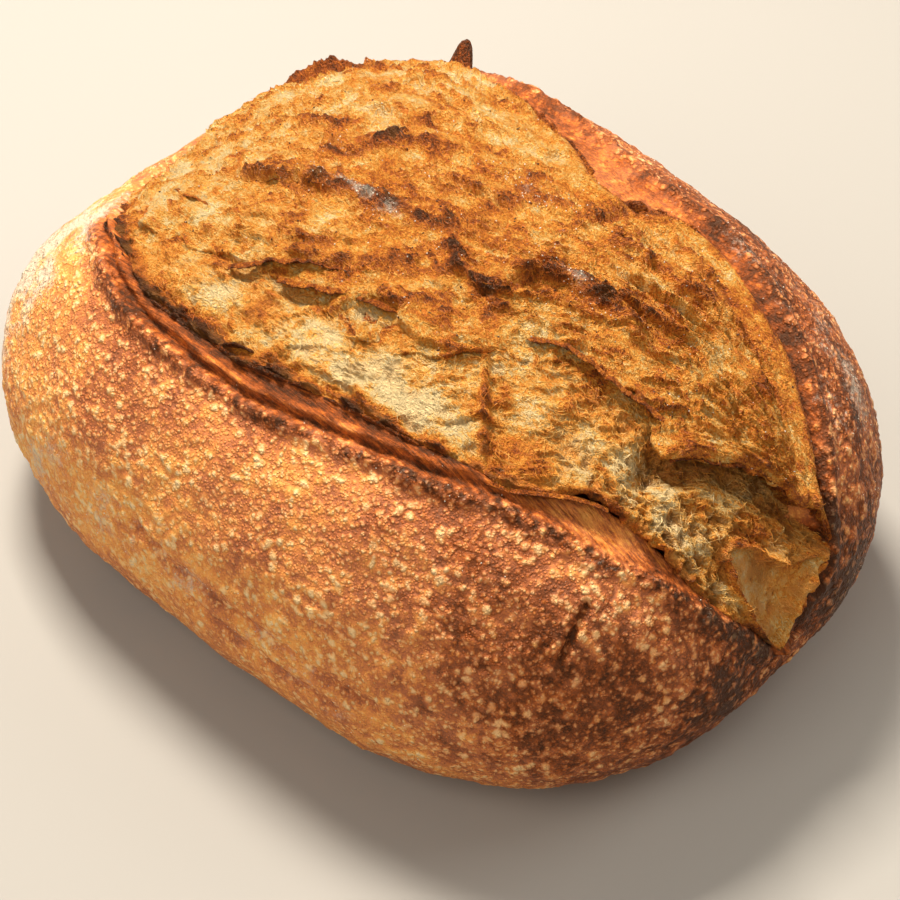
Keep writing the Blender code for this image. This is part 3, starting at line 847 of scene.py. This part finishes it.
class Finish:
    """One material, built node by node."""

    def __init__(self, name):
        self.material = bpy.data.materials.new(name)
        self.material.use_nodes = True
        self.tree = self.material.node_tree
        self.tree.nodes.clear()
        self.shader = add_node(self.tree, "ShaderNodeBsdfPrincipled", {}, {"Metallic": 0.0})
        add_node(self.tree, "ShaderNodeOutputMaterial", {}, {"Surface": self.shader.outputs[0]})

    def wire(self, kind, settings, sockets, output=0):
        return Wire(self, add_node(self.tree, kind, settings, sockets).outputs[output])

    def feed(self, name, value):
        plug(self.tree, self.shader.inputs[name], value)

    def sum(self, operation, first, second):
        return self.wire("ShaderNodeMath", {"operation": operation}, {0: first, 1: second})

    def limit(self, value, low=0.0, high=1.0):
        """0 where the value is low, 1 where it is high, smooth between."""
        return self.wire("ShaderNodeMapRange", {"interpolation_type": "SMOOTHSTEP"},
                         {"Value": value, "From Min": low, "From Max": high})

    def mask(self, name):
        """One of the piece's own masks."""
        return self.wire("ShaderNodeAttribute", {"attribute_name": name, "attribute_type": "GEOMETRY"}, {},
                         "Fac")

    def object_place(self):
        return self.wire("ShaderNodeTexCoord", {}, {}, "Object")

    def map_place(self, stretch):
        """A place on the map, in units of 100 mm times the stretch."""
        place = self.wire("ShaderNodeUVMap", {"uv_map": "map"}, {})
        return self.wire("ShaderNodeMapping", {}, {"Vector": place, "Scale": stretch})

    def stirred(self, place, scale, amount):
        """A place pushed about by noise, so that what is laid out on it isn't regular."""
        swirl = self.wire("ShaderNodeTexNoise", {}, {"Vector": place, "Scale": scale, "Detail": 2.0}, "Color")
        return self.wire("ShaderNodeVectorMath", {"operation": "MULTIPLY_ADD"},
                         {0: swirl, 1: (amount, amount, amount), 2: place})

    def grain(self, place, scale, detail=3.0, roughness=0.55):
        """Fine noise from 0 to 1, with this many lumps to the unit."""
        return self.wire("ShaderNodeTexNoise", {},
                         {"Vector": place, "Scale": scale, "Detail": detail, "Roughness": roughness}, "Fac")

    def crests(self, place, scale, detail=3.0):
        """Thin bright threads where noise crosses its middle, 0 to 1."""
        away = self.sum("ABSOLUTE", self.grain(place, scale, detail, 0.6) - 0.5, 0.0)
        return self.limit(away, 0.10, 0.0)

    def domes(self, place, scale):
        """Rounded bumps, 0 between them and 1 on top."""
        nearest = self.wire("ShaderNodeTexVoronoi", {}, {"Vector": place, "Scale": scale}, "Distance")
        return self.limit(nearest, 0.56, 0.10)

    def ramp(self, value, stops):
        return self.wire("ShaderNodeValToRGB", {"stops": stops}, {"Fac": value})

    def blend(self, share, first, second):
        return self.wire("ShaderNodeMix", {"data_type": "RGBA"}, {0: share, 6: first, 7: second}, 2)

    def bump(self, height, distance):
        return self.wire("ShaderNodeBump", {}, {"Height": height, "Distance": distance, "Strength": 1.0})


# How brown the darkest stop of the ramp is, on the scale of the bake masks.
BAKE_RANGE = 1.2
BAKE_COLOURS = [
    (0.00, screen(251, 221, 162)), (0.14, screen(250, 196, 108)), (0.30, screen(242, 159, 58)),
    (0.46, screen(216, 122, 38)), (0.60, screen(172, 84, 28)), (0.74, screen(120, 56, 18)),
    (0.88, screen(72, 33, 11)), (1.00, screen(32, 18, 10)),
]
FLOUR_COLOUR = screen(207, 192, 172)
PALE_BLISTER = screen(237, 200, 150)
# Painted light: the gold below is a glow laid into the hollows of torn crumb, for light the crumb passes on
# into them.
HOLLOW_GLOW_GOLD = screen(236, 154, 66)
# Painted shade: the tan laid over the cave, the facet's shaded side and the deeper pits of the crumb.
PAINTED_SHADE_TAN = screen(230, 160, 86)
GLOSS_TINT = (1.0, 0.82, 0.58, 1.0)
CRUST_GLOSS = 0.30
TORN_GLOSS = 0.40


def crust_finish():
    """Blistered crust: pale on the blisters and red-brown between them, dusted with flour."""
    finish = Finish("crust")
    place = finish.object_place()
    stirred = finish.stirred(place, 330.0, 0.0007)
    mottle = finish.grain(place, 150.0, 3.0)
    fine = finish.grain(place, 1500.0, 4.0, 0.7)
    size = finish.limit(finish.grain(place, 110.0, 2.0), 0.35, 0.65)
    domes = finish.domes(stirred, 290.0) * (size * 0.5 + 0.12) + finish.domes(stirred, 560.0) * 0.40
    domes = domes + finish.domes(stirred, 1150.0) * 0.26
    whole = finish.mask("open")
    domes = domes * (whole * 0.75 + 0.25) + finish.mask("blister") * 0.22
    streaks = finish.grain(finish.map_place((14.0, 105.0, 1.0)), 1.0, 4.0, 0.68) - 0.5
    bake = finish.mask("bake") + (mottle - 0.5) * 0.30 + (fine - 0.5) * 0.50 - (domes - 0.26) * 0.55
    bake = bake + streaks * (1.0 - whole) * 1.05 - (1.0 - whole) * 0.17
    specks = finish.limit(finish.grain(place, 2100.0, 2.0), 0.66, 0.76)
    bake = finish.sum("MINIMUM", bake + specks * 0.22, 1.08)
    colour = finish.ramp(bake / BAKE_RANGE, BAKE_COLOURS)
    haze = finish.limit(finish.mask("bake"), 0.88, 0.50) * 0.10
    colour = finish.blend(haze, colour, FLOUR_COLOUR)
    pale = finish.limit(domes + (fine - 0.5) * 0.5, 0.20, 0.72) * (whole * 0.62 + 0.06)
    pale = pale * (finish.limit(finish.mask("bake"), 0.92, 0.56) * 0.75 + 0.25)
    colour = finish.blend(pale, colour, PALE_BLISTER)
    dust = finish.mask("flour") + (finish.grain(place, 520.0, 5.0, 0.75) - 0.5) * 1.7
    colour = finish.blend(finish.limit(dust, 0.30, 0.95) * 0.80, colour, FLOUR_COLOUR)
    finish.feed("Base Color", colour)
    finish.feed("Roughness", 0.42 + finish.mask("flour") * 0.25 + fine * 0.20)
    finish.feed("Normal", finish.bump(domes + fine * 0.30 + streaks * (1.2 - whole * 1.2), 0.0011))
    finish.feed("Specular IOR Level", CRUST_GLOSS)
    finish.feed("Specular Tint", GLOSS_TINT)
    return finish.material


def torn_finish(name, pale, fibre_share):
    """Torn crumb: shaggy and fibrous, gold where it shows the crumb, browned on what stands up."""
    finish = Finish(name)
    place = finish.object_place()
    pulled = finish.stirred(finish.map_place((22.0, 90.0, 1.0)), 1.2, 2.2)
    fibres = finish.crests(pulled, 1.0, 3.0)
    tufts = finish.crests(finish.stirred(place, 300.0, 0.003), 420.0, 3.0)
    hairs = finish.crests(finish.stirred(place, 500.0, 0.002), 1100.0, 2.0)
    mottle = finish.grain(place, 160.0, 5.0, 0.62)
    fine = finish.grain(place, 1700.0, 4.0, 0.7)
    shag = fibres * 0.45 * fibre_share + tufts * 0.50 + hairs * 0.30
    # Paler on the threads and tufts of the shag and browner between them: the pale threads are the crumb's
    # own colour, the browner crevices are painted shade.
    bake = finish.mask("bake") + (mottle - 0.5) * 0.52 + (fine - 0.5) * 0.58 - (shag - 0.42) * 0.34
    specks = finish.limit(finish.grain(place, 1500.0, 3.0), 0.62, 0.74)
    bake = finish.sum("MINIMUM", bake + specks * 0.32, 1.06)
    colour = finish.ramp(bake / BAKE_RANGE, BAKE_COLOURS)
    # Painted light: the hollows are blended towards gold, a glow standing in for light passed on inside the
    # crumb.
    colour = finish.blend(finish.mask("hollow") * pale, colour, HOLLOW_GLOW_GOLD)
    if name == "crumb":
        # Painted shade: the cave, the facet's shaded side and the deeper pits are blended towards tan.
        colour = finish.blend(finish.mask("grey") * 0.6, colour, PAINTED_SHADE_TAN)
    dust = finish.mask("flour") + (finish.grain(place, 600.0, 5.0, 0.75) - 0.5) * 1.5
    colour = finish.blend(finish.limit(dust, 0.35, 0.95) * 0.75, colour, FLOUR_COLOUR)
    finish.feed("Base Color", colour)
    finish.feed("Roughness", 0.35 + fine * 0.26)
    finish.feed("Normal", finish.bump(shag + fine * 0.45, 0.0012))
    finish.feed("Specular IOR Level", TORN_GLOSS)
    finish.feed("Specular Tint", GLOSS_TINT)
    return finish.material


# ---------------------------------------------------------------- building


def dress(piece, material):
    if material is not None:
        piece.data.materials.append(material)
    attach(piece, "root")
    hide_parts("loaf")


# Torn flaps that stand up or hang over: (line, rise, lean, bake).
FLAPS = [
    ([(-30, -51), (-21, -43), (-14, -38), (-7, -33)], 1.6, -2.4, 0.78),
    ([(-17, -46), (-7, -42), (3, -37), (15, -34)], 1.5, -2.6, 0.70),
    ([(-50, -27), (-38, -20), (-24, -14), (-14, -12), (-2, -9)], 1.5, -1.4, 0.86),
    ([(5, -5), (11, -12), (19, -15)], 1.7, -1.3, 0.92),
    ([(-16, -69), (-12, -67), (-8, -66)], 1.5, -0.5, 1.00),
    ([(40, -17), (50, -11), (60, -9), (70, -7), (82, -3)], 1.8, -2.2, 0.70),
    ([(24, -10), (28, -1), (36, 6), (48, 8)], 1.6, -2.0, 0.84),
    ([(-62, 62), (-58, 65), (-54, 64)], 10.0, 2.2, 0.96),
    ([(-101, 28), (-96, 36), (-90, 43), (-83, 48)], 5.0, 2.0, 0.80),
    ([(-84, 40), (-72, 46), (-56, 50)], 1.4, 0.8, 0.66),
    ([(26, 42), (32, 49), (40, 51), (50, 47)], 1.3, -1.0, 0.70),
    ([(-40, 2), (-32, 8), (-26, 15), (-16, 18)], 1.2, -1.2, 0.72),
    ([(-66, -36), (-56, -38), (-48, -38)], 1.0, -1.5, 0.66),
    ([(88, -9), (92, -4), (98, 3), (102, 9), (109, 14), (117, 19)], 1.6, -2.2, 0.80),
    ([(130, 24), (134, 19), (140, 12), (148, 5)], 2.8, 0.3, 0.64),
    ([(116, -10), (125, -12), (136, -10), (147, -5)], 1.6, 0.3, 0.60),
    ([(108, 28), (114, 27), (119, 25), (122, 22)], 1.8, -1.2, 0.84),
    ([(-46, 66), (-32, 60), (-17, 54), (-3, 49), (8, 45)], 1.0, 0.6, 0.78),
    ([(20, 34), (23, 40), (28, 45), (35, 50), (44, 51)], 1.2, 0.6, 0.76),
    ([(-76, -53), (-70, -57), (-61, -61), (-52, -66)], 1.4, 0.8, 0.98),
    ([(-50, -67), (-42, -70), (-34, -71), (-22, -72)], 1.2, 0.9, 1.02),
    ([(-18, -71), (-6, -70), (6, -67), (14, -65)], 1.1, 0.8, 0.96),
    ([(16, -65), (28, -62), (40, -59), (50, -55)], 1.2, 0.6, 0.88),
    ([(54, -54), (62, -50), (68, -45), (76, -38), (84, -33)], 1.0, -1.2, 0.72),
]


def flap(number, line, rise, lean, bake):
    """A thin torn flap along a line on the map, curling over as it rises."""
    path = smooth_line(line, 24)
    share = np.linspace(0.0, 1.0, len(path))
    sideways = np.gradient(path, axis=0)[:, ::-1] * (-1, 1)
    sideways /= np.linalg.norm(sideways, axis=1, keepdims=True)
    spot = np.stack([path[:, 0], path[:, 1], np.full(len(path), 7.3 * number)], axis=-1)
    uneven = layered_noise(spot, 3.5, 130, 4, 0.7)
    pointed = 3.4 if rise > 6 else 0.6
    tall = rise * np.sin(np.pi * share) ** pointed * np.clip(1 + min(0.9, 1.2 / rise) * uneven, 0.15, 2.0)
    over = lean * (1 + 0.5 * noise(spot, 6, 131))
    up = np.linspace(0.0, 1.0, 7)
    out = over[:, None] * up ** 1.8
    height = -1.6 + (tall[:, None] + 1.6) * np.sin(1.75 * up) / math.sin(1.75)
    height += 0.25 * noise(spot[:, None, :] + up[:, None] * (0, 0, 4), 1.5, 132) * up
    thick = 0.45 * (1.15 - up)
    near = np.concatenate([out - thick, (out + thick)[:, ::-1]], axis=1)
    high = np.concatenate([height, height[:, ::-1] - 0.1], axis=1)
    sunk = settle(path[:, 0], path[:, 1])[:, None]
    along = path[:, :1] + sideways[:, :1] * near
    across = path[:, 1:] + sideways[:, 1:] * near
    browned = bake - 0.10 + 0.16 * np.concatenate([up, up[::-1]]) + 0.12 * uneven[:, None]
    masks = {"bake": browned, "flour": np.zeros_like(high), "hollow": np.zeros_like(high),
             "fibre": np.full_like(high, 0.8)}
    return ring_mesh("flap", skin.place(along, across, high + sunk), along, across, masks)


def joined(pieces, name):
    with bpy.context.temp_override(active_object=pieces[0], selected_editable_objects=pieces):
        bpy.ops.object.join()
    work = bmesh.new()
    work.from_mesh(pieces[0].data)
    bmesh.ops.recalc_face_normals(work, faces=work.faces)
    work.to_mesh(pieces[0].data)
    work.free()
    pieces[0].name = name
    return pieces[0]


class Growth:
    """Geometry Nodes that scatter small shapes over a piece, as named inputs say."""

    INPUTS = [("Geometry", "Geometry"), ("Density", "Float"), ("Seed", "Int"), ("Smallest", "Float"),
              ("Largest", "Float"), ("Swing", "Float"), ("Tilt", "Float"), ("Shapes", "Collection"),
              ("Finish", "Material")]

    def __init__(self, name, mask):
        self.group = bpy.data.node_groups.new(name, "GeometryNodeTree")
        for label, kind in self.INPUTS:
            self.group.interface.new_socket(name=label, in_out="INPUT", socket_type="NodeSocket" + kind)
        self.group.interface.new_socket(name="Geometry", in_out="OUTPUT", socket_type="NodeSocketGeometry")
        given = self.node("NodeGroupInput", {}, {}).outputs
        wanted = self.node("GeometryNodeInputNamedAttribute", {"data_type": "FLOAT"}, {"Name": mask})
        density = self.node("ShaderNodeMath", {"operation": "MULTIPLY"},
                            {0: given["Density"], 1: wanted.outputs["Attribute"]})
        points = self.node("GeometryNodeDistributePointsOnFaces", {"distribute_method": "RANDOM"},
                           {"Mesh": given["Geometry"], "Density": density.outputs[0], "Seed": given["Seed"]})
        stand = self.node("FunctionNodeAlignRotationToVector", {"axis": "Z"},
                          {"Vector": points.outputs["Normal"]})
        lie = self.node("FunctionNodeAlignRotationToVector", {"axis": "X", "pivot_axis": "Z"},
                        {"Rotation": stand.outputs[0], "Vector": (1.0, 0.15, 0.0)})
        most = self.node("ShaderNodeCombineXYZ", {},
                         {"X": given["Tilt"], "Y": given["Tilt"], "Z": given["Swing"]})
        least = self.node("ShaderNodeVectorMath", {"operation": "SCALE"}, {0: most.outputs[0], "Scale": -1.0})
        turn = self.node("FunctionNodeRandomValue", {"data_type": "FLOAT_VECTOR"},
                         {0: least.outputs[0], 1: most.outputs[0], "Seed": given["Seed"]})
        turned = self.node("FunctionNodeRotateRotation", {"rotation_space": "LOCAL"},
                           {"Rotation": lie.outputs[0], "Rotate By": turn.outputs[0]})
        size = self.node("FunctionNodeRandomValue", {"data_type": "FLOAT"},
                         {2: given["Smallest"], 3: given["Largest"], "Seed": given["Seed"]})
        shapes = self.node("GeometryNodeCollectionInfo", {},
                           {"Collection": given["Shapes"], "Separate Children": True, "Reset Children": True})
        laid = self.node("GeometryNodeInstanceOnPoints", {},
                         {"Points": points.outputs["Points"], "Instance": shapes.outputs[0],
                          "Pick Instance": True, "Rotation": turned.outputs[0], "Scale": size.outputs[1]})
        real = self.node("GeometryNodeRealizeInstances", {}, {"Geometry": laid.outputs[0]})
        done = self.node("GeometryNodeSetMaterial", {},
                         {"Geometry": real.outputs[0], "Material": given["Finish"]})
        self.node("NodeGroupOutput", {}, {"Geometry": done.outputs[0]})

    def node(self, kind, settings, sockets):
        return add_node(self.group, kind, settings, sockets)

    def over(self, host, name, **values):
        """The scattered shapes over one piece, as a plain mesh."""
        carrier = bpy.data.objects.new(name + " carrier", host.data)
        bpy.context.scene.collection.objects.link(carrier)
        modifier = carrier.modifiers.new("growth", "NODES")
        modifier.node_group = self.group
        for item in self.group.interface.items_tree:
            if item.in_out == "INPUT" and item.name in values:
                modifier[item.identifier] = values[item.name]
        view = bpy.context.evaluated_depsgraph_get()
        mesh = bpy.data.meshes.new_from_object(carrier.evaluated_get(view))
        bpy.data.objects.remove(carrier)
        piece = bpy.data.objects.new(name, mesh)
        bpy.context.scene.collection.objects.link(piece)
        mesh.shade_smooth()
        return piece


def shape_set(name, makers):
    """A collection of small shapes, kept out of the scene."""
    collection = bpy.data.collections.new(name)
    for number, maker in enumerate(makers):
        mesh = bpy.data.meshes.new(name)
        work = maker(number)
        bmesh.ops.recalc_face_normals(work, faces=work.faces)
        work.to_mesh(mesh)
        work.free()
        collection.objects.link(bpy.data.objects.new("%s %d" % (name, number), mesh))
    return collection


STRAND_RINGS = 6
STRAND_SIDES = 3


def strand(number):
    """A hair of torn crumb one unit long, bent, with both ends in the bread."""
    chance = random.Random(40 + number)
    work = bmesh.new()
    bend, curl = chance.uniform(-0.18, 0.18), chance.uniform(-0.06, 0.06)
    rings = []
    for n in range(STRAND_RINGS):
        part = n / (STRAND_RINGS - 1)
        x, y = part - 0.5, bend * math.sin(math.pi * part) + curl * math.sin(2 * math.pi * part)
        z = chance.uniform(0.10, 0.20) * math.sin(math.pi * part) - 0.04
        thick = 0.011 + 0.011 * math.sin(math.pi * part)
        turns = [2 * math.pi * k / STRAND_SIDES for k in range(STRAND_SIDES)]
        rings.append([work.verts.new((x, y + thick * math.cos(a), z + thick * math.sin(a))) for a in turns])
    for near, far in zip(rings, rings[1:]):
        for k in range(STRAND_SIDES):
            after = (k + 1) % STRAND_SIDES
            work.faces.new((near[k], near[after], far[after], far[k]))
    work.faces.new(rings[0][::-1])
    work.faces.new(rings[-1])
    return work


def chip(number, flat):
    """An uneven grain or flake, one unit across."""
    chance = random.Random(70 + number)
    work = bmesh.new()
    bmesh.ops.create_icosphere(work, subdivisions=1, radius=0.5)
    for vertex in work.verts:
        grow = chance.uniform(0.65, 1.15)
        narrow = chance.uniform(0.5, 0.9)
        vertex.co = (vertex.co.x * grow, vertex.co.y * grow * narrow, vertex.co.z * grow * flat)
    return work


def plain_finish(name, colour, roughness):
    finish = Finish(name)
    place = finish.object_place()
    shade = finish.limit(finish.grain(place, 300.0, 2.0), 0.3, 0.7)
    darker = tuple(value * 0.55 for value in colour[:3]) + (1.0,)
    finish.feed("Base Color", finish.blend(shade, darker, colour))
    finish.feed("Roughness", roughness)
    finish.feed("Specular Tint", GLOSS_TINT)
    return finish.material


def strand_finish():
    """Hairs of crumb: gold where the bed is pale, brown where it is toasted."""
    finish = Finish("strand")
    place = finish.object_place()
    bake = finish.mask("bake") * 0.72 + (finish.grain(place, 240.0, 3.0) - 0.5) * 0.7 - 0.04
    finish.feed("Base Color", finish.ramp(bake / BAKE_RANGE, BAKE_COLOURS))
    finish.feed("Roughness", 0.5)
    finish.feed("Specular Tint", GLOSS_TINT)
    return finish.material


CROWN_END = 133.0
CROWN_ROWS = 398
CROWN_COLUMNS = 236
CRUMB_ROWS = 400
CRUMB_COLUMNS = 228

# Undersides, from the far edge back to the near one: (share of the width, how far further across, how
# far down, whether down is counted from the edge of the top).
CROWN_UNDER = [(1.0, 0.6, 0.9, True), (1.0, 0.2, 2.2, True), (1.0, -4.0, 3.6, True), (0.7, 0.0, 9.0, False),
               (0.3, 0.0, 9.0, False), (0.0, 5.0, 3.4, True), (0.0, 1.6, 2.6, True), (0.0, -0.3, 1.3, True)]
CRUMB_UNDER = [(1.0, 0.4, 2.0, True), (0.7, 0.0, 11.0, False), (0.3, 0.0, 11.0, False), (0.0, 6.0, 6.0, True),
               (0.0, 2.2, 3.4, True), (0.0, -0.4, 1.5, True)]

CRUMB_FAR_END = [(100, 13), (108, 21), (116, 27), (124, 28), (130, 27), (134, 23), (139, 16), (146, 9),
                 (154, 1)]               # the crumb's far edge beyond the hollow, close behind the facet


def build_crust():
    along, across = crust_grid()
    flat = skin.place(along, across, np.zeros_like(along))
    height, masks = crust_relief(along, across, flat)
    points = skin.place(along, across, height)
    points[..., 2] = np.maximum(points[..., 2], 0.0)
    piece = ring_mesh("crust", points, along, across, masks)
    dress(piece, crust_finish())
    return piece


def build_crown():
    edge = ragged_line(LEDGE, 90, 2.8, 1.3)
    along, across = layer_grid(TEAR_START + 1.0, CROWN_END, CROWN_ROWS, CROWN_COLUMNS, edge, BACK_RIDGE, 1.0)
    piece = layer_piece("crown", along, across, crown_relief, CROWN_UNDER)
    finish = torn_finish("crown", 0.25, 1.0)
    dress(piece, finish)
    flaps = joined([flap(number, *details) for number, details in enumerate(FLAPS)], "flaps")
    dress(flaps, finish)
    return piece


def build_crumb():
    edge = ragged_line(INNER_EDGE, 94, 0.7, 0.6)
    far = [(a, c + 8) for a, c in LEDGE if a < 95] + CRUMB_FAR_END
    along, across = layer_grid(TEAR_START + 1.0, TEAR_END - 1.0, CRUMB_ROWS, CRUMB_COLUMNS, edge, far, 0.0)
    piece = layer_piece("crumb", along, across, crumb_relief, CRUMB_UNDER)
    dress(piece, torn_finish("crumb", 0.58, 0.8))
    return piece


def scatter(crust, crumb, crown):
    """Hairs over everything torn, flour and burnt chips where they have collected."""
    hairs = shape_set("strand", [strand] * 6)
    grains = shape_set("grain", [lambda number: chip(number, 0.8)] * 4)
    chips = shape_set("chip", [lambda number: chip(number, 0.3)] * 5)
    over_torn = Growth("hairs", "fibre")
    over_flour = Growth("grains", "flour")
    strands = strand_finish()
    flour = plain_finish("flour", screen(240, 228, 208), 0.8)
    burnt = plain_finish("burnt", screen(84, 44, 24), 0.6)
    # Each row: growth, host, name, shapes, finish, number to the square metre, seed, smallest and largest
    # in metres, then how far each may swing round and tilt, in radians.
    kinds = (
        (over_torn, crumb, "crumb_hairs", hairs, strands, 700000.0, 5, 0.0012, 0.0038, 1.3, 0.25),
        (over_torn, crown, "crown_hairs", hairs, strands, 380000.0, 5, 0.0012, 0.0029, 1.3, 0.25),
        (over_flour, crown, "crown_flour", grains, flour, 500000.0, 8, 0.0002, 0.0007, 3.1, 3.1),
        (over_flour, crust, "crust_flour", grains, flour, 90000.0, 9, 0.0002, 0.0006, 3.1, 3.1),
        (over_torn, crown, "burnt_specks", chips, burnt, 60000.0, 11, 0.0003, 0.0012, 3.1, 0.5),
    )
    for growth, host, name, shapes, finish, density, seed, smallest, largest, swing, tilt in kinds:
        piece = growth.over(host, name, Density=density, Seed=seed, Smallest=smallest, Largest=largest,
                            Swing=swing, Tilt=tilt, Shapes=shapes, Finish=finish)
        dress(piece, None)


# ---------------------------------------------------------------- studio

CAMERA_AIM = (-0.0149, 0.0162, 0.0)
CAMERA_DISTANCE = 0.797
CAMERA_AZIMUTH = math.radians(44.3)
CAMERA_ELEVATION = math.radians(44.9)
CAMERA_ROLL = math.radians(1.8)
CAMERA_LENS = 108.5


def add_camera():
    back = Vector((math.sin(CAMERA_AZIMUTH) * math.cos(CAMERA_ELEVATION),
                   -math.cos(CAMERA_AZIMUTH) * math.cos(CAMERA_ELEVATION), math.sin(CAMERA_ELEVATION)))
    data = bpy.data.cameras.new("camera")
    data.lens = CAMERA_LENS
    camera = bpy.data.objects.new("camera", data)
    bpy.context.scene.collection.objects.link(camera)
    camera.location = Vector(CAMERA_AIM) + back * CAMERA_DISTANCE
    turn = back.to_track_quat("Z", "Y").to_matrix()
    camera.rotation_euler = (turn @ Matrix.Rotation(CAMERA_ROLL, 3, "Z")).to_euler()
    bpy.context.scene.camera = camera


def add_light(name, place, size, power, colour):
    data = bpy.data.lights.new(name, "AREA")
    data.size = size
    data.energy = power
    data.color = colour
    light = bpy.data.objects.new(name, data)
    bpy.context.scene.collection.objects.link(light)
    light.location = place
    light.rotation_euler = Vector(place).to_track_quat("Z", "Y").to_euler()


# Lights: (name, place, size in metres, watts, colour).
LIGHTS = [
    ("key", (-0.50, 0.16, 1.05), 0.32, 26.0, (1.0, 0.94, 0.84)),
    ("fill", (0.2, -1.0, 1.1), 0.9, 9.2, (1.0, 0.94, 0.85)),
    ("rim", (0.55, 0.9, 1.0), 0.7, 6.5, (1.0, 0.95, 0.88)),
]
ROOM_COLOUR = (1.0, 0.93, 0.84, 1.0)
ROOM_STRENGTH = 0.28
FLOOR_COLOUR = screen(162, 157, 150)


def add_studio():
    add_camera()
    for light in LIGHTS:
        add_light(*light)
    world = bpy.data.worlds.new("studio")
    world.use_nodes = True
    background = world.node_tree.nodes["Background"]
    background.inputs["Color"].default_value = ROOM_COLOUR
    background.inputs["Strength"].default_value = ROOM_STRENGTH
    bpy.context.scene.world = world
    bpy.context.scene.view_settings.view_transform = "Standard"
    bpy.ops.mesh.primitive_plane_add(size=6.0, location=(0.0, 0.0, -0.0002))
    floor = bpy.context.object
    floor.name = "floor"
    finish = Finish("floor")
    finish.feed("Base Color", FLOOR_COLOUR)
    finish.feed("Roughness", 0.8)
    floor.data.materials.append(finish.material)


scatter(build_crust(), build_crumb(), build_crown())
add_studio()
